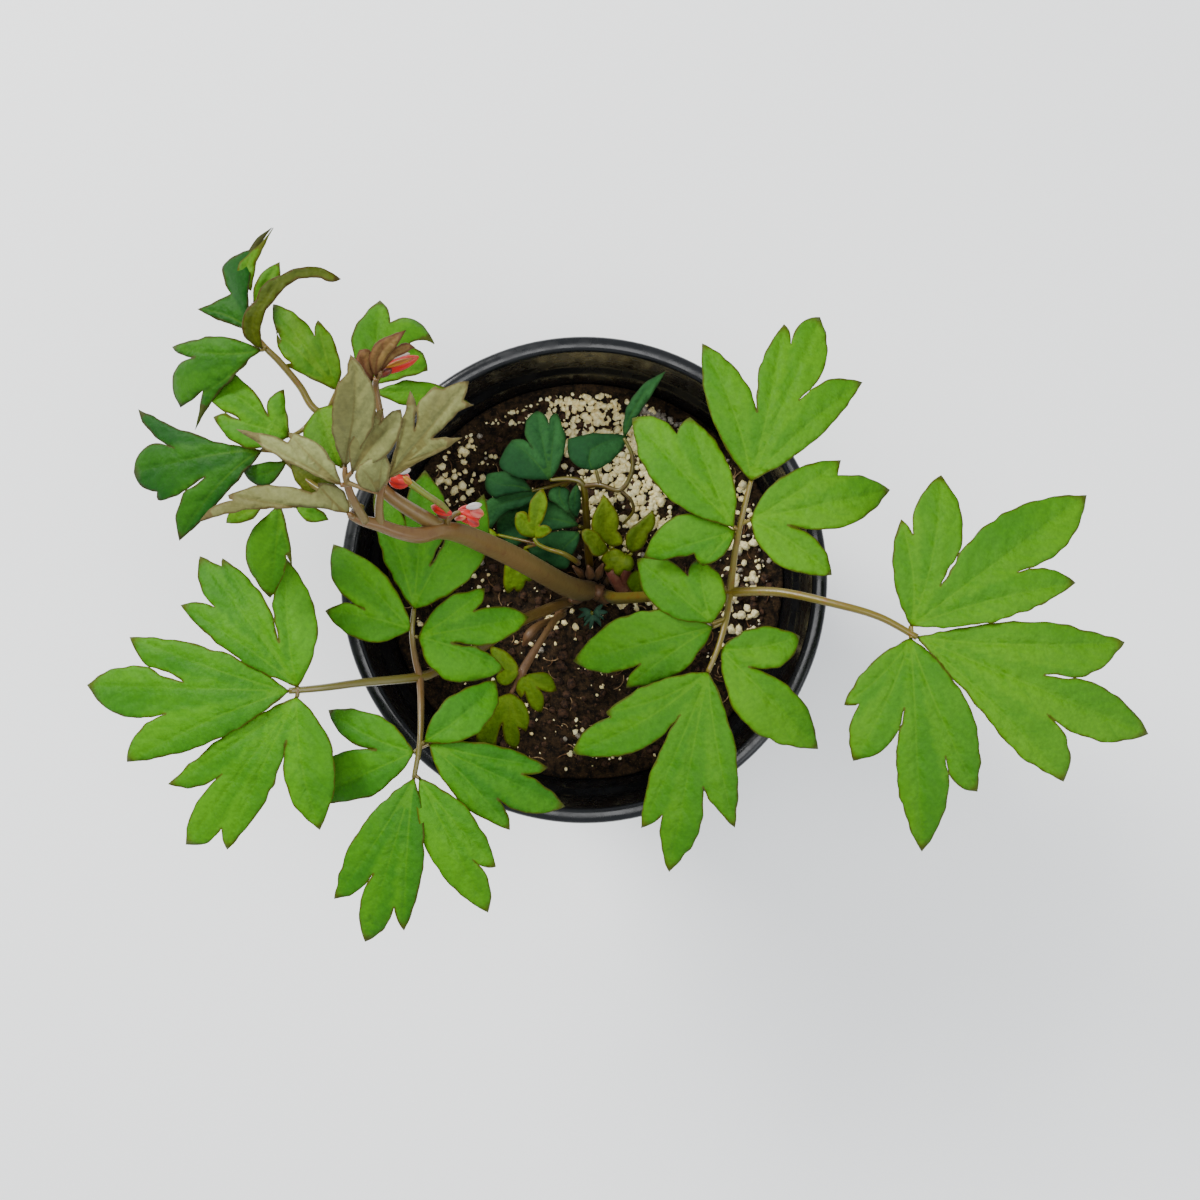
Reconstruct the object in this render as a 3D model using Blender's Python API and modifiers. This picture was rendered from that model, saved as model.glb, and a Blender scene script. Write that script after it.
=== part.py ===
"""Bleeding heart plant in its nursery pot.

Lengths are in metres, +Z is up, and the origin is the centre of the pot's underside.
Each leaflet is outlined as it looks from straight above and then lifted to its own height.
"""

import math

import bmesh
import bpy
from mathutils import Matrix, Vector, geometry, noise

# Pot and soil
RIM_RADIUS = 0.0840
POT_HEIGHT = 0.165
LIP_ROUND = 0.0022
COLLAR_RADIUS = 0.0802
COLLAR_HEIGHT = 0.028
STEP_IN = 0.0022
BASE_RADIUS = 0.0640
WALL = 0.0018
FLOOR = 0.0025
SOIL_TOP = 0.1215
SOIL_CROWN = 0.0025
SOIL_RINGS = (0.2, 0.4, 0.6, 0.8, 1.0)
SOIL_SECTORS = 36
DRAIN_HOLES = 6
DRAIN_RADIUS = 0.0045
DRAIN_CIRCLE = 0.062
DRAIN_DEPTH = 0.012
POT_SEGMENTS = 40
GAP = 0.0003

# Plant
BLADE_THICKNESS = 0.0007
RIB_DEPTH = 0.35
ROOT_REACH = 13
GRAIN_COUNT = 26
GRAIN_REACH = 0.066
GOLDEN_TURN = 2.39996
EDGE_STEP = 0.0104
INNER_STEP = 0.018
CREASE = 0.0011
CREASE_WIDTH = 0.005

# The view from above that the outlines are drawn in: eye height, its axis, and its scale
EYE_HEIGHT = 0.610
AXIS_X = 0.0055
AXIS_Y = -0.0069
VIEW_CENTRE = 600
VIEW_FOCAL = 1298

OBJECT = "bleeding_heart_plant"


# Leaflets: (root height, tip height, arch) in mm, root, then via and corner points by turns
RIGHT_LEAFLETS = [
    ((213, 207, 5), (911, 626), [
        (893, 560), (901, 519), (909, 527), (913, 534), (918, 500), (941, 475), (963, 520), (940, 586),
        (1004, 513), (1087, 495), (1067, 544), (1018, 572), (1048, 568), (1076, 583), (1010, 617)]),
    ((213, 199, 6), (917, 637), [
        (946, 631), (975, 626), (1040, 622), (1125, 642), (1092, 673), (1045, 675), (1106, 689), (1148, 734),
        (1101, 741), (1047, 714), (1070, 748), (1064, 782), (1022, 757), (985, 715), (948, 672)]),
    ((213, 200, 6), (911, 638), [
        (862, 673), (844, 705), (852, 706), (859, 704), (849, 733), (853, 761), (891, 742), (904, 708),
        (897, 778), (922, 852), (948, 798), (946, 757), (954, 782), (978, 792), (976, 725)]),
    ((207, 201, 5), (751, 481), [
        (708, 407), (702, 343), (737, 370), (757, 412), (763, 360), (784, 324), (790, 334), (791, 344),
        (802, 322), (820, 317), (826, 360), (799, 400), (830, 380), (863, 382), (822, 434)]),
    ((206, 200, 4), (734, 527), [
        (648, 474), (632, 418), (656, 417), (677, 434), (681, 424), (690, 417), (730, 468)]),
    ((204, 199, 3), (735, 531), [
        (676, 516), (643, 558), (670, 559), (694, 554), (697, 561), (703, 566), (728, 550)]),
    ((206, 200, 4), (750, 520), [
        (783, 476), (841, 460), (839, 468), (838, 475), (866, 478), (890, 490), (850, 525), (788, 525),
        (820, 543), (832, 575), (768, 556)]),
    ((198, 190, 4), (712, 623), [
        (652, 603), (637, 559), (668, 560), (688, 576), (692, 563), (700, 558), (726, 593)]),
    ((196, 187, 4), (713, 627), [
        (632, 613), (573, 661), (612, 673), (640, 664), (630, 676), (626, 688), (690, 664)]),
    ((199, 188, 5), (708, 672), [
        (652, 683), (606, 712), (607, 715), (610, 717), (587, 730), (572, 753), (640, 750), (680, 715),
        (646, 790), (641, 828), (655, 822), (662, 815), (661, 847), (669, 872), (699, 830), (703, 787),
        (715, 808), (735, 828), (737, 760)]),
    ((198, 189, 4), (721, 649), [
        (752, 628), (800, 636), (786, 663), (749, 667), (797, 694), (818, 749), (745, 724)]),
]

LEFT_LEAFLETS = [
    ((212, 204, 5), (298, 687), [
        (232, 655), (181, 605), (199, 602), (215, 607), (199, 582), (200, 556), (211, 561), (222, 566),
        (222, 562), (223, 558), (257, 588), (279, 642), (273, 600), (286, 558), (317, 635)]),
    ((212, 199, 6), (289, 691), [
        (205, 647), (130, 637), (146, 664), (183, 682), (125, 666), (87, 685), (118, 714), (165, 714),
        (136, 734), (127, 762), (205, 745)]),
    ((212, 200, 5), (297, 697), [
        (220, 739), (168, 784), (198, 787), (222, 774), (192, 812), (185, 845), (208, 842), (221, 829),
        (223, 841), (227, 850), (266, 800), (286, 741), (288, 793), (320, 830), (331, 745)]),
    ((200, 193, 2.5), (414, 609), [
        (382, 553), (374, 494), (392, 500), (406, 528), (409, 492), (425, 470), (447, 510), (430, 566),
        (449, 530), (484, 494), (484, 558)]),
    ((201, 196, 4), (411, 630), [
        (362, 641), (325, 611), (345, 603), (364, 609), (333, 580), (333, 544), (380, 570)]),
    ((201, 193, 4), (418, 637), [
        (445, 600), (485, 588), (483, 600), (474, 611), (502, 606), (529, 617), (497, 643), (452, 643),
        (485, 651), (505, 670), (440, 676)]),
    ((207, 196, 5), (414, 778), [
        (357, 833), (334, 899), (358, 891), (373, 874), (359, 908), (365, 942), (387, 925), (394, 908),
        (397, 920), (404, 931), (421, 880)]),
    ((207, 197, 4), (419, 778), [
        (434, 865), (488, 913), (490, 885), (473, 860), (483, 867), (496, 867), (470, 812)]),
    ((206, 193, 4), (414, 752), [
        (370, 796), (306, 800), (335, 755), (376, 750), (343, 737), (328, 710), (383, 718)]),
    ((206, 200, 3), (424, 742), [
        (437, 710), (496, 680), (498, 692), (499, 703), (475, 735)]),
    ((205, 194, 4), (429, 744), [
        (495, 745), (548, 767), (537, 774), (522, 774), (547, 787), (565, 807), (531, 814), (498, 799),
        (507, 812), (510, 830), (456, 798)]),
]

BRONZE_MIDDLE_LEAFLETS = [
    ((270, 292, 3), (345, 467), [
        (331, 425), (338, 383), (343, 378), (347, 373), (348, 362), (350, 354), (374, 393)]),
    ((271, 283, 2), (352, 472), [(362, 418), (396, 409), (392, 440)]),
    ((269, 277, 2), (378, 493), [(362, 470), (383, 452), (385, 468)]),
    ((268.2, 263, 5), (341, 485), [
        (315, 442), (288, 432), (289, 441), (287, 442), (270, 435), (236, 429), (290, 462)]),
]
BRONZE_RIGHT_LEAFLETS = [
    ((262, 274, 3), (388, 478), [
        (397, 440), (410, 391), (417, 408), (414, 430), (425, 395), (435, 386), (439, 388), (443, 389),
        (456, 383), (469, 381), (465, 391), (463, 400), (455, 418), (432, 438), (447, 438), (462, 438),
        (430, 456)]),
]
BRONZE_LOW_LEAFLETS = [
    ((260, 252, 4), (349, 514), [
        (345, 492), (318, 483), (318, 490), (312, 493), (270, 485), (228, 495), (229, 499), (233, 500),
        (213, 507), (199, 522), (270, 508)]),
]

FAR_LEAFLETS = [
    ((254, 243, 3), (252, 331), [
        (224, 322), (197, 309), (216, 302), (231, 294), (224, 268), (249, 250), (258, 238), (272, 227),
        (257, 250), (249, 288), (249, 305)]),
    ((255, 258, 2), (253, 303), [(258, 278), (280, 262), (276, 285)]),
    ((256, 263, 5), (263, 349), [
        (247, 340), (243, 329), (246, 312), (256, 301), (264, 284), (281, 275), (304, 266), (341, 279),
        (331, 281), (321, 277), (296, 280), (274, 300), (262, 322)]),
    ((252, 237, 5), (262, 350), [
        (215, 337), (172, 347), (182, 356), (195, 357), (175, 368), (181, 408), (192, 400), (203, 391),
        (199, 410), (195, 431), (222, 388)]),
    ((247, 245, 4), (337, 390), [
        (310, 377), (281, 364), (286, 364), (291, 363), (279, 350), (277, 331), (279, 336), (281, 340),
        (273, 322), (273, 304), (302, 318), (315, 336), (315, 326), (318, 320), (338, 350)]),
    ((247, 240, 4), (289, 437), [
        (287, 412), (284, 389), (270, 398), (268, 416), (240, 377), (197, 363), (208, 398), (240, 420),
        (226, 413), (213, 417), (240, 446)]),
    ((251, 250, 1), (342, 468), [(303, 432), (318, 408), (335, 405)]),
]
HANGING_LEAFLETS = [
    ((240, 228, 4), (262, 450), [
        (210, 439), (138, 409), (155, 438), (174, 448), (146, 446), (134, 473), (147, 490), (157, 492),
        (158, 500), (165, 500), (185, 492), (205, 477), (179, 504), (179, 541), (225, 495)]),
    ((242, 236, 2), (287, 461), [(262, 463), (241, 469), (262, 487)]),
    ((243, 240, 2), (290, 462), [(312, 470), (345, 492), (300, 487)]),
    ((238, 221, 3), (280, 505), [
        (245, 548), (270, 598), (282, 580), (286, 555), (289, 561), (292, 567), (288, 535)]),
    ((239, 236, 1), (262, 505), [(252, 519), (226, 523), (227, 518)]),
    ((241, 239, 1), (295, 507), [(305, 519), (329, 520), (324, 512)]),
]
BACK_LEAFLETS = [
    ((249, 244, 5), (372, 385), [
        (351, 340), (380, 300), (389, 312), (390, 322), (406, 318), (435, 344), (422, 340), (408, 345),
        (425, 358), (428, 371), (400, 378)]),
    ((250, 243, 3), (374, 392), [(405, 381), (472, 405), (420, 408)]),
]

DARK_LEAFLETS = [
    ((157, 153, 2), (550, 480), [
        (500, 462), (512, 440), (524, 440), (533, 449), (526, 422), (537, 411), (545, 415), (549, 424),
        (551, 416), (557, 413), (565, 437)]),
    ((161, 157, 2), (596, 470), [(572, 462), (568, 439), (590, 434), (628, 436), (622, 450)]),
    ((165, 168, 2), (624, 438), [(628, 405), (666, 371), (640, 412)]),
    ((153, 148, 2), (532, 491), [(512, 473), (487, 474), (485, 488), (495, 498), (515, 493)]),
    ((150, 147, 2), (548, 495), [(520, 489), (493, 497), (481, 508), (490, 530), (505, 514), (528, 506)]),
    ((154, 150, 1), (561, 486), [
        (549, 491), (549, 500), (562, 509), (576, 522), (571, 505), (570, 492), (566, 488)]),
    ((157, 151, 1), (577, 484), [(569, 500), (577, 519), (581, 502)]),
    ((146, 142, 1), (579, 526), [
        (545, 500), (498, 520), (497, 530), (505, 540), (507, 547), (514, 549), (530, 538), (552, 531)]),
    ((153, 149, 1), (579, 532), [
        (578, 545), (570, 557), (567, 568), (556, 568), (549, 564), (546, 560), (546, 565), (543, 567),
        (533, 560), (528, 545), (547, 533)]),
]
YELLOW_LEAFLETS = [
    ((158, 162, 1), (534, 538), [
        (511, 534), (516, 510), (524, 514), (528, 523), (524, 503), (544, 488), (546, 508), (537, 525),
        (543, 525), (551, 530), (545, 538)]),
    ((154, 149, 2), (525, 548), [
        (503, 566), (506, 593), (513, 590), (517, 586), (517, 590), (521, 593), (536, 578), (533, 553)]),
    ((150, 147, 1), (498, 535), [(488, 528), (478, 540), (488, 544)]),
]
OLIVE_LEAFLETS = [
    ((151, 161, 1), (611, 546), [(594, 520), (604, 494), (618, 520)]),
    ((151, 158, 1), (608, 549), [(590, 552), (581, 532), (600, 531)]),
    ((151, 159, 1), (632, 554), [(632, 530), (652, 512), (652, 530)]),
    ((150, 147, 2), (628, 557), [(612, 549), (602, 571), (620, 576)]),
]
LOW_LEAFLETS = [
    ((150, 146, 1), (521, 671), [(508, 668), (490, 647), (513, 655)]),
    ((149, 143, 2), (526, 677), [(535, 691), (541, 712), (547, 702), (547, 695), (552, 694), (557, 691), (541, 683)]),
    ((147, 140, 2), (511, 693), [
        (492, 705), (485, 739), (497, 729), (502, 720), (505, 736), (514, 750), (515, 737), (515, 722),
        (519, 728), (525, 731), (522, 708)]),
]

# Stalks: (x, y, height in mm, diameter in mm) along each
RIGHT_STALKS = [
    [(607, 595, 108, 4.2), (607, 595, 128, 4.2), (609, 596, 136, 4.4), (618, 598, 147, 4.2),
     (640, 597, 162, 3.8), (690, 594, 182, 3.3), (728, 592, 190, 3.1), (780, 592, 200, 2.7),
     (840, 605, 209, 2.4), (880, 617, 212, 2.2), (916, 634, 212.6, 2.0)],
    [(730, 592, 190, 2.6), (734, 560, 198, 2.2), (739, 530, 203.5, 2.0), (746, 500, 206, 1.7),
     (751, 481, 206.6, 1.4)],
    [(730, 592, 190, 2.5), (727, 615, 195, 2.1), (719, 645, 198, 1.8), (708, 672, 198.6, 1.6)],
    [(739, 530, 203, 1.3), (734, 527, 204.6, 1.2)],
    [(738, 533, 202.6, 1.3), (733, 532, 203, 1.1)],
    [(741, 524, 204, 1.3), (750, 520, 205.6, 1.2)],
    [(726, 618, 195.4, 1.3), (712, 623, 197, 1.2)],
    [(725, 622, 195.6, 1.3), (713, 627, 195.4, 1.2)],
    [(719, 643, 197.6, 1.3), (723, 650, 197.4, 1.2)],
    [(911, 630, 212.6, 1.6), (909, 642, 212.6, 1.4)],
    [(911, 630, 212.6, 1.6), (915, 622, 212.8, 1.4)],
]
LEFT_STALKS = [
    [(569, 602, 108, 4.0), (569, 602, 128, 4.0), (564, 603, 136, 4.0), (549, 609, 147, 4.0),
     (516, 624, 163, 3.8), (470, 655, 181, 3.5), (440, 669, 189, 3.2), (420, 677, 194, 3.0),
     (360, 683, 205, 2.5), (322, 688, 210, 2.2), (290, 691, 211.6, 2.0)],
    [(420, 677, 194, 2.4), (415, 658, 197, 2.0), (412, 633, 200.6, 1.8), (414, 609, 201.6, 1.5)],
    [(420, 677, 194, 2.4), (421, 705, 200, 2.1), (420, 742, 205, 1.8), (416, 776, 206.6, 1.5)],
    [(413, 633, 200.4, 1.2), (410, 631, 200.6, 1.1)],
    [(413, 636, 200.0, 1.2), (418, 637, 200.4, 1.1)],
    [(421, 747, 205.0, 1.2), (414, 752, 205.6, 1.1)],
    [(420, 745, 205.0, 1.2), (426, 740, 205.6, 1.1)],
    [(420, 748, 205.0, 1.2), (430, 745, 204.6, 1.1)],
    [(416, 776, 206.4, 1.3), (420, 780, 206.6, 1.1)],
    [(298, 690, 211.6, 1.5), (298, 684, 211.6, 1.3)],
    [(298, 690, 211.6, 1.5), (296, 699, 211.6, 1.3)],
]
STEM_STALKS = [
    [(588, 590, 106, 7.8), (588, 590, 128, 7.8), (581, 590, 138, 7.8), (565, 585, 151, 7.6),
     (543, 573, 168, 7.4), (520, 560, 186, 7.2), (500, 550, 200, 6.8), (480, 541, 214, 6.4),
     (460, 533, 226, 5.8), (441, 530, 236, 5.2), (420, 535, 243, 4.6), (400, 532, 248, 4.0),
     (380, 525, 252, 3.6), (362, 520, 255, 3.0), (350, 514, 257, 2.4)],
    [(446, 530, 233, 4.6), (426, 519, 241, 4.4), (400, 503, 247, 4.0), (385, 491, 250, 3.4),
     (378, 478, 250, 2.8), (366, 455, 248.5, 2.3)],
    [(380, 525, 252, 2.8), (379, 508, 256, 2.3), (381, 491, 260, 2.1), (384, 484, 261, 1.9)],
    [(365, 521, 255, 2.7), (353, 500, 262, 2.3), (347, 484, 266.5, 2.0)],
]
BRONZE_MIDDLE_STALKS = [
    [(347, 483, 266.8, 1.8), (345, 475, 268.6, 1.6), (345, 467, 269.6, 1.2)],
    [(346, 478, 268, 1.4), (352, 472, 270.6, 1.1)],
    [(347, 482, 267.2, 1.4), (362, 488, 267.8, 1.2), (378, 493, 268.6, 1.0)],
    [(348, 484.5, 266.4, 1.5), (341, 485, 267.9, 1.3)],
]
BRONZE_RIGHT_STALKS = [
    [(384.5, 483, 261.2, 1.6), (388, 478, 261.6, 1.3)],
]
BRONZE_LOW_STALKS = [
    [(356, 517, 256, 1.7), (347, 513, 259.5, 1.4)],
]
FAR_STALKS = [
    [(372, 466, 249.0, 2.3), (366, 452, 247.6, 2.3), (345, 425, 245, 2.2), (315, 409, 245, 2.1),
     (300, 386, 247, 2.0), (280, 362, 251, 1.9), (266, 348, 253, 1.7), (258, 334, 253.6, 1.3)],
    [(266, 348, 253, 1.3), (264, 349, 255.4, 1.1)],
    [(266, 348, 253, 1.4), (256, 350, 251.6, 1.2)],
    [(326, 415, 244.6, 1.4), (334, 400, 245.6, 1.2)],
    [(320, 412, 244.6, 1.4), (302, 430, 245, 1.3), (288, 436, 246, 1.1)],
    [(253, 324, 253.6, 1.1), (252, 308, 254.4, 1.0)],
    [(352, 434, 245.6, 1.4), (350, 452, 249, 1.2), (342, 467, 250.6, 1.1)],
]
HANGING_STALKS = [
    [(362, 508, 252.4, 2.0), (340, 500, 248, 1.9), (312, 484, 243.6, 1.8), (290, 464, 241.6, 1.7),
     (276, 452, 240, 1.5), (260, 450, 239.6, 1.3)],
    [(312, 484, 243.4, 1.5), (296, 494, 240, 1.4), (281, 506, 237.6, 1.2)],
    [(290, 464, 241.6, 1.1), (282, 463, 241.6, 1.0)],
    [(292, 466, 241.8, 1.1), (302, 468, 242.6, 1.0)],
    [(284, 503, 238.0, 1.1), (266, 506, 238.4, 1.0)],
    [(290, 499, 239.0, 1.1), (300, 509, 240.2, 1.0)],
]
BACK_STALKS = [
    [(381, 482, 248.2, 1.9), (380, 462, 246.2, 1.8), (375, 430, 247, 1.6), (372, 395, 249, 1.4),
     (373, 380, 249.4, 1.2)],
    [(372, 398, 248.8, 1.2), (380, 393, 249.6, 1.0)],
]
DARK_STALKS = [
    [(590, 567, 106, 3.0), (590, 567, 128, 3.0), (588, 545, 138, 2.9), (586, 510, 150, 2.6),
     (583, 485, 156, 2.2), (570, 479, 157, 1.8), (552, 480, 156.6, 1.3)],
    [(584, 486, 155.6, 2.0), (600, 485, 159, 1.8), (620, 490, 161, 1.7), (631, 474, 163, 1.6),
     (632, 455, 164.4, 1.4), (626, 440, 165, 1.1)],
    [(600, 485, 159, 1.4), (598, 474, 160.6, 1.1)],
    [(571, 480, 156.6, 1.5), (552, 486, 153, 1.3), (530, 491, 152.6, 1.1)],
    [(571, 480, 156.6, 1.5), (560, 490, 151, 1.3), (546, 496, 149.8, 1.1)],
    [(571, 480, 156.6, 1.3), (562, 487, 153.6, 1.0)],
    [(583, 485, 156, 1.4), (578, 486, 156.6, 1.0)],
    [(587, 530, 143, 1.8), (579, 526, 145.6, 1.3)],
    [(587, 540, 140, 1.8), (585, 533, 148, 1.4), (578, 533, 152.4, 1.1)],
    [(620, 490, 161, 1.2), (631, 500, 160, 1.1), (633, 512, 157, 1.0), (623, 524, 153, 0.9)],
]
YELLOW_STALKS = [
    [(578, 563, 108, 2.2), (578, 563, 128, 2.2), (577, 562, 151, 2.0), (564, 554, 158.4, 1.7),
     (548, 549, 157.6, 1.5), (538, 544, 157.6, 1.4), (534, 539, 157.6, 1.3)],
    [(538, 544, 157.4, 1.2), (526, 548, 153.8, 1.1)],
    [(538, 544, 157.5, 1.1), (516, 539, 153.6, 1.1), (498, 535, 149.8, 1.0)],
]
OLIVE_STALKS = [
    [(617, 562, 108, 3.4), (617, 562, 128, 3.4), (617, 560, 138, 3.0), (616, 555, 146, 2.2),
     (612, 547, 150.6, 1.5)],
    [(615, 554, 146.6, 1.5), (609, 549, 149.6, 1.2)],
    [(618, 558, 142, 1.8), (628, 556, 149, 1.4), (634, 551, 151, 1.1)],
    [(624, 557, 147, 1.3), (623, 558, 149.6, 1.1)],
]
BUD_SCALE_STALKS = [
    [(623, 589, 108, 5.4), (623, 589, 128, 5.6), (618, 582, 134, 5.4), (611, 572, 140, 3.8),
     (607, 567, 142, 1.4)],
    [(624, 588, 127, 5.2), (625, 580, 133, 5.8), (625, 571, 139, 4.4), (624, 567, 142, 1.4)],
    [(625, 589, 127, 3.6), (634, 587, 131, 3.8), (639, 580, 136, 2.2), (640, 574, 139, 0.9)],
]
LOW_STALKS = [
    [(563, 614, 108, 2.4), (563, 614, 128, 2.4), (554, 621, 136, 2.4), (540, 642, 143, 2.4),
     (524, 668, 148, 3.2), (521, 676, 148, 2.6), (514, 687, 146.6, 1.4)],
    [(524, 669, 148, 1.6), (518, 668, 149.4, 1.2)],
    [(524, 671, 148, 1.6), (529, 679, 148.8, 1.2)],
]

SEEDLING_LEAFLETS = [
    ((132, 131, 0), (592, 613), [(587, 608), (581, 612), (586, 617)]),
    ((132, 132, 0), (593, 613), [(600, 607), (605, 612), (599, 618)]),
    ((132, 131, 0), (592, 614), [(586, 621), (592, 627), (598, 621)]),
]
SEEDLING_STALKS = [
    [(592, 616, 112, 1.2), (592, 616, 128, 1.2), (592, 613, 131.7, 1.2)],
]

# The racemes: the lower one leaves the fork of the stem, the upper one carries an unfolding tuft
LOW_RACEME_STALKS = [
    [(450, 529, 232, 1.6), (447, 521, 238, 1.7), (448, 514, 240.6, 1.6), (443, 506, 243, 1.8),
     (425, 494, 247.4, 1.9), (410, 483, 250, 2.2)],
    [(448, 520, 238.4, 1.4), (455, 514, 235, 1.5), (460, 513, 232, 1.6)],
]
TUFT_STALKS = [
    [(380, 476, 250, 1.8), (383, 455, 254, 1.8), (381, 420, 257, 1.8), (376, 390, 258.6, 1.8),
     (374, 378, 259.4, 1.6)],
    [(375, 384, 259, 1.5), (380, 372, 262.4, 1.2)],
    [(375, 384, 259, 1.5), (379, 371, 259.6, 1.6), (383, 368, 259.6, 1.8)],
]
TUFT_LEAFLETS = [
    ((260, 265, 1), (374, 382), [(356, 366), (359, 350), (368, 350), (371, 360), (372, 372), (377, 378)]),
    ((262, 269, 1), (376, 378), [(370, 352), (384, 338), (392, 335), (406, 330), (396, 346), (386, 358)]),
    ((263, 267, 1), (381, 372), [(383, 354), (397, 347), (404, 343), (415, 347), (402, 353), (390, 360)]),
]

# Flower buds: base, tip, their heights in mm, and how wide each is across in mm
BUDS = {
    "top_bud": ((384, 367), (419, 357), 260.5, 263, 5.0),
    "middle_bud": ((410, 483), (389, 476), 250, 248.6, 6.2),
    "low_bud": ((458, 512), (482, 518), 232, 229, 6.4),
    "pointed_bud": ((452, 513), (431, 506), 241.4, 240, 3.8),
}


def lift(x, y, height):
    """The point at this height that is seen at x, y of the view from above."""
    spread = (EYE_HEIGHT - height) / VIEW_FOCAL
    return Vector((AXIS_X + (x - VIEW_CENTRE) * spread, AXIS_Y - (y - VIEW_CENTRE) * spread, height))


def through(start, via, end, share, count):
    """Points of the parabola from start through via to end, the end left out."""
    rest = 1 - share
    control = (via - start * rest * rest - end * share * share) / (2 * rest * share)
    points = []
    for i in range(count):
        t = i / count
        points.append(start * (1 - t) ** 2 + control * 2 * t * (1 - t) + end * t * t)
    return points


def outline_of(root, edge, step):
    """The leaflet's closed edge, as flat points, with its lobe tips apart."""
    corners = [Vector(root)] + [Vector(point) for point in edge[1::2]] + [Vector(root)]
    vias = [Vector(point) for point in edge[0::2]]
    points = []
    for start, via, end in zip(corners, vias, corners[1:]):
        first, second = (via - start).length, (end - via).length
        count = max(2, round((first + second) / step))
        points += through(start, via, end, first / (first + second), count)
    reach = [(corner - corners[0]).length for corner in corners]
    tips = [i for i in range(1, len(corners) - 1) if reach[i - 1] < reach[i] > reach[i + 1]]
    return points, [corners[i] for i in tips]


def vein_of(root, tip, main, count):
    """A side vein leaves the root along the main one and bends out to its lobe."""
    span = tip - root
    lean = span.normalized() * 0.7 + (main - root).normalized() * 0.3
    control = root + lean.normalized() * span.length * 0.45
    points = []
    for i in range(count + 1):
        t = i / count
        points.append(root * (1 - t) ** 2 + control * 2 * t * (1 - t) + tip * t * t)
    return points


def midrib_of(polygon, tip, count):
    """The middle line of a leaflet with one tip, halfway between its two edges."""
    turn = min(range(len(polygon)), key=lambda i: (polygon[i] - tip).length)
    there, back = polygon[:turn + 1], [polygon[0]] + polygon[:turn - 1:-1]
    return [(spaced(there, i / count) + spaced(back, i / count)) / 2 for i in range(count + 1)]


def spaced(line, share):
    """The point this share of the way along a line, by its length."""
    steps = [(b - a).length for a, b in zip(line, line[1:])]
    left = share * sum(steps)
    for a, b, step in zip(line, line[1:], steps):
        if left <= step:
            return a + (b - a) * (left / max(step, 1e-9))
        left -= step
    return line[-1]


def distance_to(point, lines):
    """From a flat point to the nearest of the lines."""
    best = 1e9
    for line in lines:
        for a, b in zip(line, line[1:]):
            run = b - a
            along = max(0.0, min(1.0, (point - a).dot(run) / max(run.length_squared, 1e-12)))
            best = min(best, (point - a - run * along).length)
    return best


def inside(point, polygon):
    odd = False
    for a, b in zip(polygon, polygon[1:] + polygon[:1]):
        if (a.y > point.y) != (b.y > point.y):
            if point.x < (b.x - a.x) * (point.y - a.y) / (b.y - a.y) + a.x:
                odd = not odd
    return odd


def clear_points(polygon, lines, step):
    """A staggered grid of the flat points that lie well inside the outline and off the veins."""
    edge = polygon + polygon[:1]
    low_x, high_x = min(p.x for p in polygon), max(p.x for p in polygon)
    low_y, high_y = min(p.y for p in polygon), max(p.y for p in polygon)
    found = []
    rows = int((high_y - low_y) / (step * 0.87)) + 1
    for row in range(rows):
        y = low_y + (row + 0.5) * step * 0.87
        x = low_x + step * (0.5 if row % 2 else 0.0)
        while x < high_x:
            point = Vector((x, y))
            x += step
            if not inside(point, polygon) or distance_to(point, lines) < step * 0.45:
                continue
            if distance_to(point, [edge]) > step * 0.45:
                found.append(point)
    return found


def blade_surface(heights, root, edge):
    """One leaflet's upper surface as (points in space, triangles)."""
    scale = VIEW_FOCAL / (EYE_HEIGHT - heights[0] / 1000)
    polygon, tips = outline_of(root, edge, EDGE_STEP * scale)
    start = Vector(root)
    main = max(tips, key=lambda tip: (tip - start).length)
    reach = (main - start).length
    veins = []
    for tip in tips:
        count = max(2, round((tip - start).length / (INNER_STEP * scale)))
        if len(tips) == 1:
            veins.append(midrib_of(polygon, tip, count))
        else:
            veins.append(vein_of(start, tip, main, count))
    flat = list(polygon)
    lines = [(i, (i + 1) % len(polygon)) for i in range(len(polygon))]
    for vein in veins:
        row = [0]
        for point in vein[1:-1]:
            if inside(point, polygon) and distance_to(point, [polygon + polygon[:1]]) > 0.001 * scale:
                row.append(len(flat))
                flat.append(point)
        lines += list(zip(row, row[1:]))
    flat += clear_points(polygon, veins, INNER_STEP * scale)
    face = list(range(len(polygon)))
    flat, _, faces, _, _, _ = geometry.delaunay_2d_cdt(flat, lines, [face], 1, 1e-4)
    points = []
    for point in flat:
        along = min(1.0, (point - start).length / reach)
        fold = 1 - math.exp(-distance_to(point, veins) / (CREASE_WIDTH * scale))
        height = heights[0] + (heights[1] - heights[0]) * along + 4 * heights[2] * along * (1 - along)
        points.append(lift(point.x, point.y, height / 1000 + CREASE * fold))
    return points, faces


def rib_of(heights, root, edge):
    """Knots of the main vein's thicker first stretch, which joins a leaflet to its stalk."""
    polygon, tips = outline_of(root, edge, EDGE_STEP * VIEW_FOCAL)
    start = Vector(root)
    main = max(tips, key=lambda tip: (tip - start).length)
    line = midrib_of(polygon, main, 20) if len(tips) == 1 else vein_of(start, main, main, 20)
    knots = []
    for step, across in ((-1, 1.2), (5, 0.8)):
        spot = line[step] if step > 0 else start * 2 - line[1]
        along = (spot - start).length / (main - start).length * (1 if step > 0 else -1)
        height = heights[0] + (heights[1] - heights[0]) * along + 4 * heights[2] * along * (1 - along)
        knots.append((spot.x, spot.y, height - RIB_DEPTH, across))
    return knots


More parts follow.
